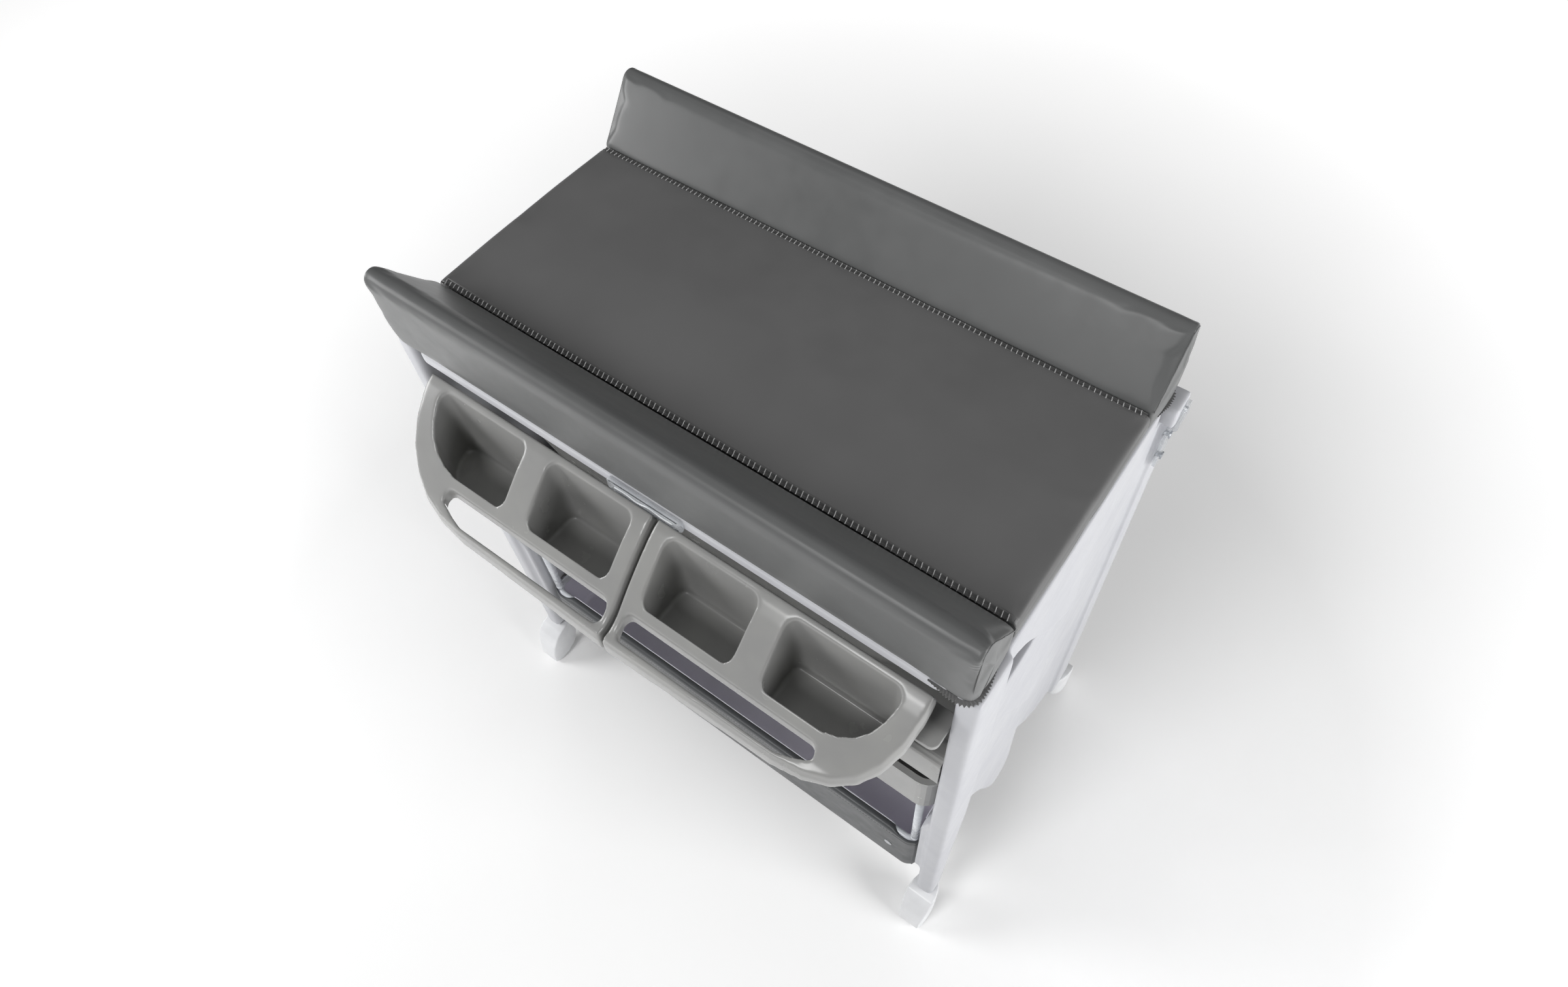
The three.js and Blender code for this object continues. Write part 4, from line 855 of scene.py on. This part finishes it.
def basketCloth():
    look = basketLook
    low, high = extent("basket")
    marks = boxOutline(high.x, high.y, look["corner"], look["step"], look["cornerSteps"])
    snapLow, snapHigh = extent("basket_snap_right")
    snapMiddle = (snapLow + snapHigh) / 2
    roll = look["rollRadius"]
    rollTop = high.z - 0.4
    # profile from the floor's edge up the wall, over the ring and down inside: inset, height, hem share
    profile = [
        (look["belly"], low.z, 0.0), (look["belly"] * 0.5, low.z + 1.2, 0.0),
        (look["belly"] * 0.2, low.z + 3.4, 0.0),
    ]
    wallTop = high.z - roll - 1.2
    count = look["wallRings"]
    heights = [
        low.z + look["belly"] + (wallTop - low.z - look["belly"]) * i / count
        for i in range(count + 1)
    ]
    seam = high.z - look["seamZ"]
    heights = sorted(set(heights + [seam + gap for gap in (-3.0, -1.6, -0.8, 0.0, 0.8, 1.6, 3.0)]))
    profile += [(0.0, z, 0.0) for z in heights]
    for step in range(1, 9):
        angle = math.pi * step / 8
        profile.append((roll * (1 - math.cos(angle)), rollTop - roll + roll * math.sin(angle), step / 8))
    for drop in (3.0, 6.0, 9.0, look["hemDrop"]):
        profile.append((look["hemReach"] - 1.2 - 0.35 * drop, rollTop - roll - drop, 1.0))
    rings = []
    for inset, z, share in profile:
        ring = []
        for spot, out, away in marks:
            ease = min(1.0, max(0.0, (away - look["notch"]) / look["notchEase"]))
            ease = ease * ease * (3 - 2 * ease)
            x, y = spot
            draw = inset
            height = z
            if share > 0:
                # at the corners the hem is cut back to a narrow lip outside the post
                draw = inset * ease + min(inset, look["lip"]) * (1 - ease)
                lipZ = rollTop - roll * 0.35 - 1.5 * share
                height = z * ease + lipZ * (1 - ease)
            upward = (z - low.z) / (high.z - low.z)
            if share == 0 and upward > 0.02:
                free = math.sin(math.pi * min(1.0, upward)) * ease
                draw += look["wave"] * free * noise.noise(Vector((x, y, z)) / look["waveSize"])
                draw += look["seamDepth"] * bump(z - seam, look["seamHalf"])
                draw -= look["welt"] * bump(away, look["weltHalf"])
                if y < 0 and abs(out.y) > 0.5:
                    side = 1 if x > 0 else -1
                    fromSnap = Vector((abs(x) - snapMiddle.x, z - snapMiddle.z))
                    for slope, reach in look["creases"]:
                        along = (fromSnap.x + slope * fromSnap.y) / math.hypot(1, slope)
                        across = (fromSnap.y - slope * fromSnap.x) / math.hypot(1, slope)
                        fade = bump(along, reach)
                        draw += look["creaseDepth"] * fade * bump(across, look["creaseWidth"])
                        draw -= 0.6 * look["creaseDepth"] * fade * bump(across - 5.5, look["creaseWidth"])
            ring.append(place(x - out.x * draw, y - out.y * draw, height))
        rings.append(ring)
    floor = []
    for share in look["floorShares"]:
        ring = []
        for spot, out, away in marks:
            edge = spot - out * look["belly"]
            inner = Vector((edge.x * share, edge.y * share))
            drift = noise.noise(Vector((inner.x, inner.y, 5)) / look["floorWaveSize"])
            rise = max(0.0, look["floorWave"] * drift)
            ring.append(place(inner.x, inner.y, low.z + 0.6 + rise))
        floor.append(ring)
    points, faces = loft(floor + rings, capped=False)
    count = len(marks)
    faces.append(tuple(reversed(range(count))))
    cloth = meshPiece("basket_cloth", points, faces, finishes["basket_vinyl"])
    # the inner shell takes the lining, whose near-white colour is partly painted light
    cloth.data.materials.append(basketLiningPaintedLight)
    shell = cloth.modifiers.new("shell", "SOLIDIFY")
    shell.thickness = look["thickness"] * mm
    shell.offset = -1.0
    shell.material_offset = 1
    shell.material_offset_rim = 0
    bake(cloth)
    return cloth, marks


def basketPiping(marks):
    # white cord sewn along the hem's inner edge, straight stretches only
    look = basketLook
    low, high = extent("basket")
    runs, run = [], []
    z = high.z - look["rollRadius"] * 0.62
    start = next(i for i, mark in enumerate(marks) if mark[2] < 0.5)
    for spot, out, away in marks[start:] + marks[:start]:
        if away > look["notch"] + look["notchEase"] * 0.45:
            ease = min(1.0, max(0.0, (away - look["notch"]) / look["notchEase"]))
            inset = look["hemReach"] * (0.35 + 0.65 * ease * ease * (3 - 2 * ease)) - 1.6
            run.append(place(spot.x - out.x * inset, spot.y - out.y * inset, z))
        elif run:
            runs.append(run)
            run = []
    if run:
        runs.append(run)
    parts = [loft(tubeRings(path, look["piping"] * mm, 8)) for path in runs if len(path) > 2]
    return gathered("basket_piping", parts, pipingFinish)


def basketStitches(marks):
    # lockstitches in the groove under the ring
    look = basketLook
    low, high = extent("basket")
    z = high.z - look["seamZ"]
    parts = []
    reach = look["stitch"] / 2
    for side in (-1, 1):
        runX = 2 * (high.x - look["notch"] - look["notchEase"])
        count = round(runX / look["stitchPitch"])
        for i in range(count):
            x = -runX / 2 + runX * (i + 0.5) / count
            y = side * (high.y - look["seamDepth"] + 0.45)
            path = [place(x - reach, y, z), place(x, y + side * 0.25, z), place(x + reach, y, z)]
            parts.append(loft(tubeRings(path, look["thread"] * mm, 6)))
    return gathered("basket_stitches", parts, threadFinish)


# a snap's cap from its back to its middle: shares of its radius and of its depth
snapShares = (
    (0.9, 0.0), (1.0, 0.12), (1.0, 0.38), (0.95, 0.52), (0.86, 0.56), (0.7, 0.74), (0.45, 0.92), (0.15, 1.0),
)


def snapDomes():
    # pressed snap caps: a low dome with a rolled edge
    for node in ("basket_snap_left", "basket_snap_right"):
        low, high = extent(node)
        middle = (low + high) / 2
        radius, depth = (high.x - low.x) / 2, high.y - low.y
        sides = 40
        rings = []
        for reach, rise in snapShares:
            rings.append([
                place(
                    middle.x + radius * reach * math.cos(2 * math.pi * j / sides), high.y - depth * rise,
                    middle.z + radius * reach * math.sin(2 * math.pi * j / sides),
                ) for j in range(sides)
            ])
        points, faces = loft(rings)
        dome = meshPiece(node + "_dome", points, faces, finishes["white_plastic"])
        settle(dome, bodyOf(node), slotOf[node], node)


ringLook = {"bend": 17.0, "step": 12.0, "bendSteps": 14}


def wireRing():
    # the ring the basket hangs on: drawn wire bent to a rounded rectangle, powder coated
    low, high = extent("basket_frame")
    radius = (high.z - low.z) / 2
    look = ringLook
    marks = boxOutline(high.x - radius, high.y - radius, look["bend"], look["step"], look["bendSteps"])
    path = [place(spot.x, spot.y, (low.z + high.z) / 2) for spot, out, away in marks]
    points, faces = loft(tubeRings(path, radius * mm, 20, True), True)
    ring = meshPiece("basket_wire_ring", points, faces, finishes["white_steel"])
    settle(ring, bodyOf("basket_frame"), slotOf["basket_frame"], "basket_frame")


def dressBasket():
    cloth, marks = basketCloth()
    settle(cloth, bodyOf("basket"), slotOf["basket"], "basket")
    piping, stitches = basketPiping(marks), basketStitches(marks)
    for piece in (piping, stitches):
        settle(piece, bodyOf("basket"), slotOf["basket"])
    snapDomes()
    wireRing()


dressBasket()
print("basket made")


# Small fittings: the clear catch on the board's edge, the lugs and the basket's posts

catchLook = {
    "corner": 5.0, "edge": 0.7, "rail": 0.75, "railInset": 2.2,
    "ridge": 1.0, "ridgeWave": 2.6, "waves": 2.0, "ridgeShare": 0.86,
}


def catchPlate():
    # a thin plate with rounded edges, a rail along each long side and a waved rib between them; the rails
    # are coloured dark as painted shade and the rib light as a painted highlight
    look = catchLook
    low, high = extent("top_latch")
    middle, half = (low + high) / 2, (high - low) / 2
    rings = []
    edge = look["edge"]
    for inset, depth in ((edge, 1.0), (0.0, 0.75), (0.0, 0.35), (edge, 0.0), (half.z - 0.6, 0.0)):
        ring = []
        for turn, (sx, sz) in enumerate(((1, 1), (-1, 1), (-1, -1), (1, -1))):
            for step in range(9):
                angle = math.pi / 2 * (turn + step / 8)
                corner = max(look["corner"] - inset, 0.4)
                ring.append(place(
                    middle.x + sx * (half.x - inset - corner) + corner * math.cos(angle),
                    low.y + (high.y - low.y) * depth,
                    middle.z + sz * (half.z - inset - corner) + corner * math.sin(angle),
                ))
        rings.append(ring)
    plate = loft(rings)
    front = low.y
    parts = []
    reach = half.x - look["corner"]
    for side in (-1, 1):
        z = middle.z + side * (half.z - look["railInset"])
        path = [place(middle.x - reach + 2 * reach * i / 12, front, z) for i in range(13)]
        parts.append(loft(tubeRings(path, look["rail"] * mm, 8)))
    wave = []
    for i in range(49):
        share = i / 48
        lift = look["ridgeWave"] * math.sin(2 * math.pi * look["waves"] * share) * math.sin(math.pi * share)
        wave.append(place(middle.x + reach * look["ridgeShare"] * (2 * share - 1), front, middle.z + lift))
    body = gathered("catch_plate", [plate], finishes["clear_plastic"])
    settle(body, bodyOf("top_latch"), slotOf["top_latch"], "top_latch")
    # dark rails: painted shade; light rib: painted highlight
    rails = gathered("catch_rails_painted_shade", parts, railPaintedShade)
    rib = gathered("catch_rib_painted_highlight", [loft(tubeRings(wave, look["ridge"] * mm, 10))], ribPaintedHighlight)
    for piece in (rails, rib):
        settle(piece, bodyOf("top_latch"), slotOf["top_latch"])


postLook = {"sides": 36, "edge": 0.8, "plug": 9.0, "groove": 0.5, "grooveWidth": 1.0, "grooveEase": 0.6}


def basketPosts():
    # white tubes between the shelf and the wire ring, each with a plug at its foot
    look = postLook
    grooveLow = look["plug"] + look["grooveEase"]
    grooveHigh = grooveLow + look["grooveWidth"]
    for node in nodes:
        if not node.startswith(("front_post", "rear_post")):
            continue
        low, high = extent(node)
        middle, radius = (low + high) / 2, (high.x - low.x) / 2
        profile = [
            (look["edge"], low.z), (0.0, low.z + look["edge"]), (0.0, low.z + look["plug"]),
            (look["groove"], low.z + grooveLow), (look["groove"], low.z + grooveHigh),
            (0.0, low.z + grooveHigh + look["grooveEase"]), (0.0, high.z),
        ]
        rings = []
        for inset, z in profile:
            ring = []
            for j in range(look["sides"]):
                angle = 2 * math.pi * j / look["sides"]
                across = (radius - inset) * math.cos(angle)
                ring.append(place(middle.x + across, middle.y + (radius - inset) * math.sin(angle), z))
            rings.append(ring)
        points, faces = loft(rings)
        tube = meshPiece(node + "_tube", points, faces, finishes[slotOf[node]])
        settle(tube, bodyOf(node), slotOf[node], node)


catchPlate()
basketPosts()
for side in ("left", "right"):
    nodes["tray_lug_" + side].data.materials[0] = finishes["grey_plastic"]
print("fittings made")


# Stage, light and camera

stage = {
    "floorSize": 30.0, "glowNear": 0.12, "glowFar": 0.78, "nearEdge": 1.0, "farEdge": 2.4,
    "sky": "#ffffff", "skyStrength": 0.03,
}
lamps = [
    # name, place in metres, width in metres, power in watts
    ("key_front_high", (-0.2, -2.4, 3.0), 1.2, 45),
    ("rim_right", (3.0, 0.2, 1.6), 1.8, 70),
    ("side_left_low", (-2.2, -1.2, 1.5), 1.2, 37),
    ("top_soft", (0.0, 0.2, 3.4), 2.4, 11),
    ("softbox_back_left", (-1.4, 0.8, 3.2), 0.6, 2.5),
    ("back_soft", (0.0, 2.6, 2.6), 2.2, 3),
]
photoCamera = {
    # solved from the mat in the photograph: place about the middle of the mat, and turns in degrees
    "place": (508.0, -584.0, 1836.5), "turn": (36.073, 1.221, 35.227),
    "focalPx": 1600.6, "widthPx": 2400, "heightPx": 1510, "axisPx": (1262.8, 634.4),
}


def makeFloor():
    finish, tree, shader, spot = startFinish("pale_studio_floor", {"Roughness": 0.7})
    tree.links.new(mottle(tree, spot, 900, "#f2f2f2", "#f7f7f7"), shader.inputs["Base Color"])
    shader.inputs["Emission Color"].default_value = linear("#ffffff")
    away = addNode(tree, "ShaderNodeVectorMath", {"operation": "LENGTH"}, {0: spot}).outputs["Value"]
    glow = addNode(
        tree, "ShaderNodeMapRange",
        {1: stage["nearEdge"], 2: stage["farEdge"], 3: stage["glowNear"], 4: stage["glowFar"]}, {0: away},
    )
    tree.links.new(glow.outputs[0], shader.inputs["Emission Strength"])
    half = stage["floorSize"] / 2
    floor = meshPiece(
        "studio_floor", [(-half, -half, 0), (half, -half, 0), (half, half, 0), (-half, half, 0)],
        [(0, 1, 2, 3)], finish, False,
    )


def makeLight():
    world = bpy.data.worlds.new("studio")
    bpy.context.scene.world = world
    world.use_nodes = True
    sky = world.node_tree.nodes["Background"]
    sky.inputs["Color"].default_value = linear(stage["sky"])
    sky.inputs["Strength"].default_value = stage["skyStrength"]
    for name, spot, width, power in lamps:
        data = bpy.data.lights.new(name, "AREA")
        data.shape = "DISK"
        data.size = width
        data.energy = power
        lamp = bpy.data.objects.new(name, data)
        bpy.context.scene.collection.objects.link(lamp)
        lamp.location = spot
        lamp.rotation_euler = (Vector((0, 0, 0.7)) - lamp.location).to_track_quat("-Z", "Y").to_euler()


def makeCamera():
    look = photoCamera
    data = bpy.data.cameras.new("photo_view")
    data.sensor_width = 36.0
    data.sensor_fit = "HORIZONTAL"
    data.lens = look["focalPx"] * data.sensor_width / look["widthPx"]
    data.shift_x = (look["widthPx"] / 2 - look["axisPx"][0]) / look["widthPx"]
    data.shift_y = (look["axisPx"][1] - look["heightPx"] / 2) / look["widthPx"]
    camera = bpy.data.objects.new("photo_view", data)
    bpy.context.scene.collection.objects.link(camera)
    camera.location = place(*look["place"])
    camera.rotation_euler = [math.radians(turn) for turn in look["turn"]]
    bpy.context.scene.camera = camera
    bpy.context.scene.view_settings.view_transform = "Standard"


makeFloor()
makeLight()
makeCamera()
print("stage, light and camera made")
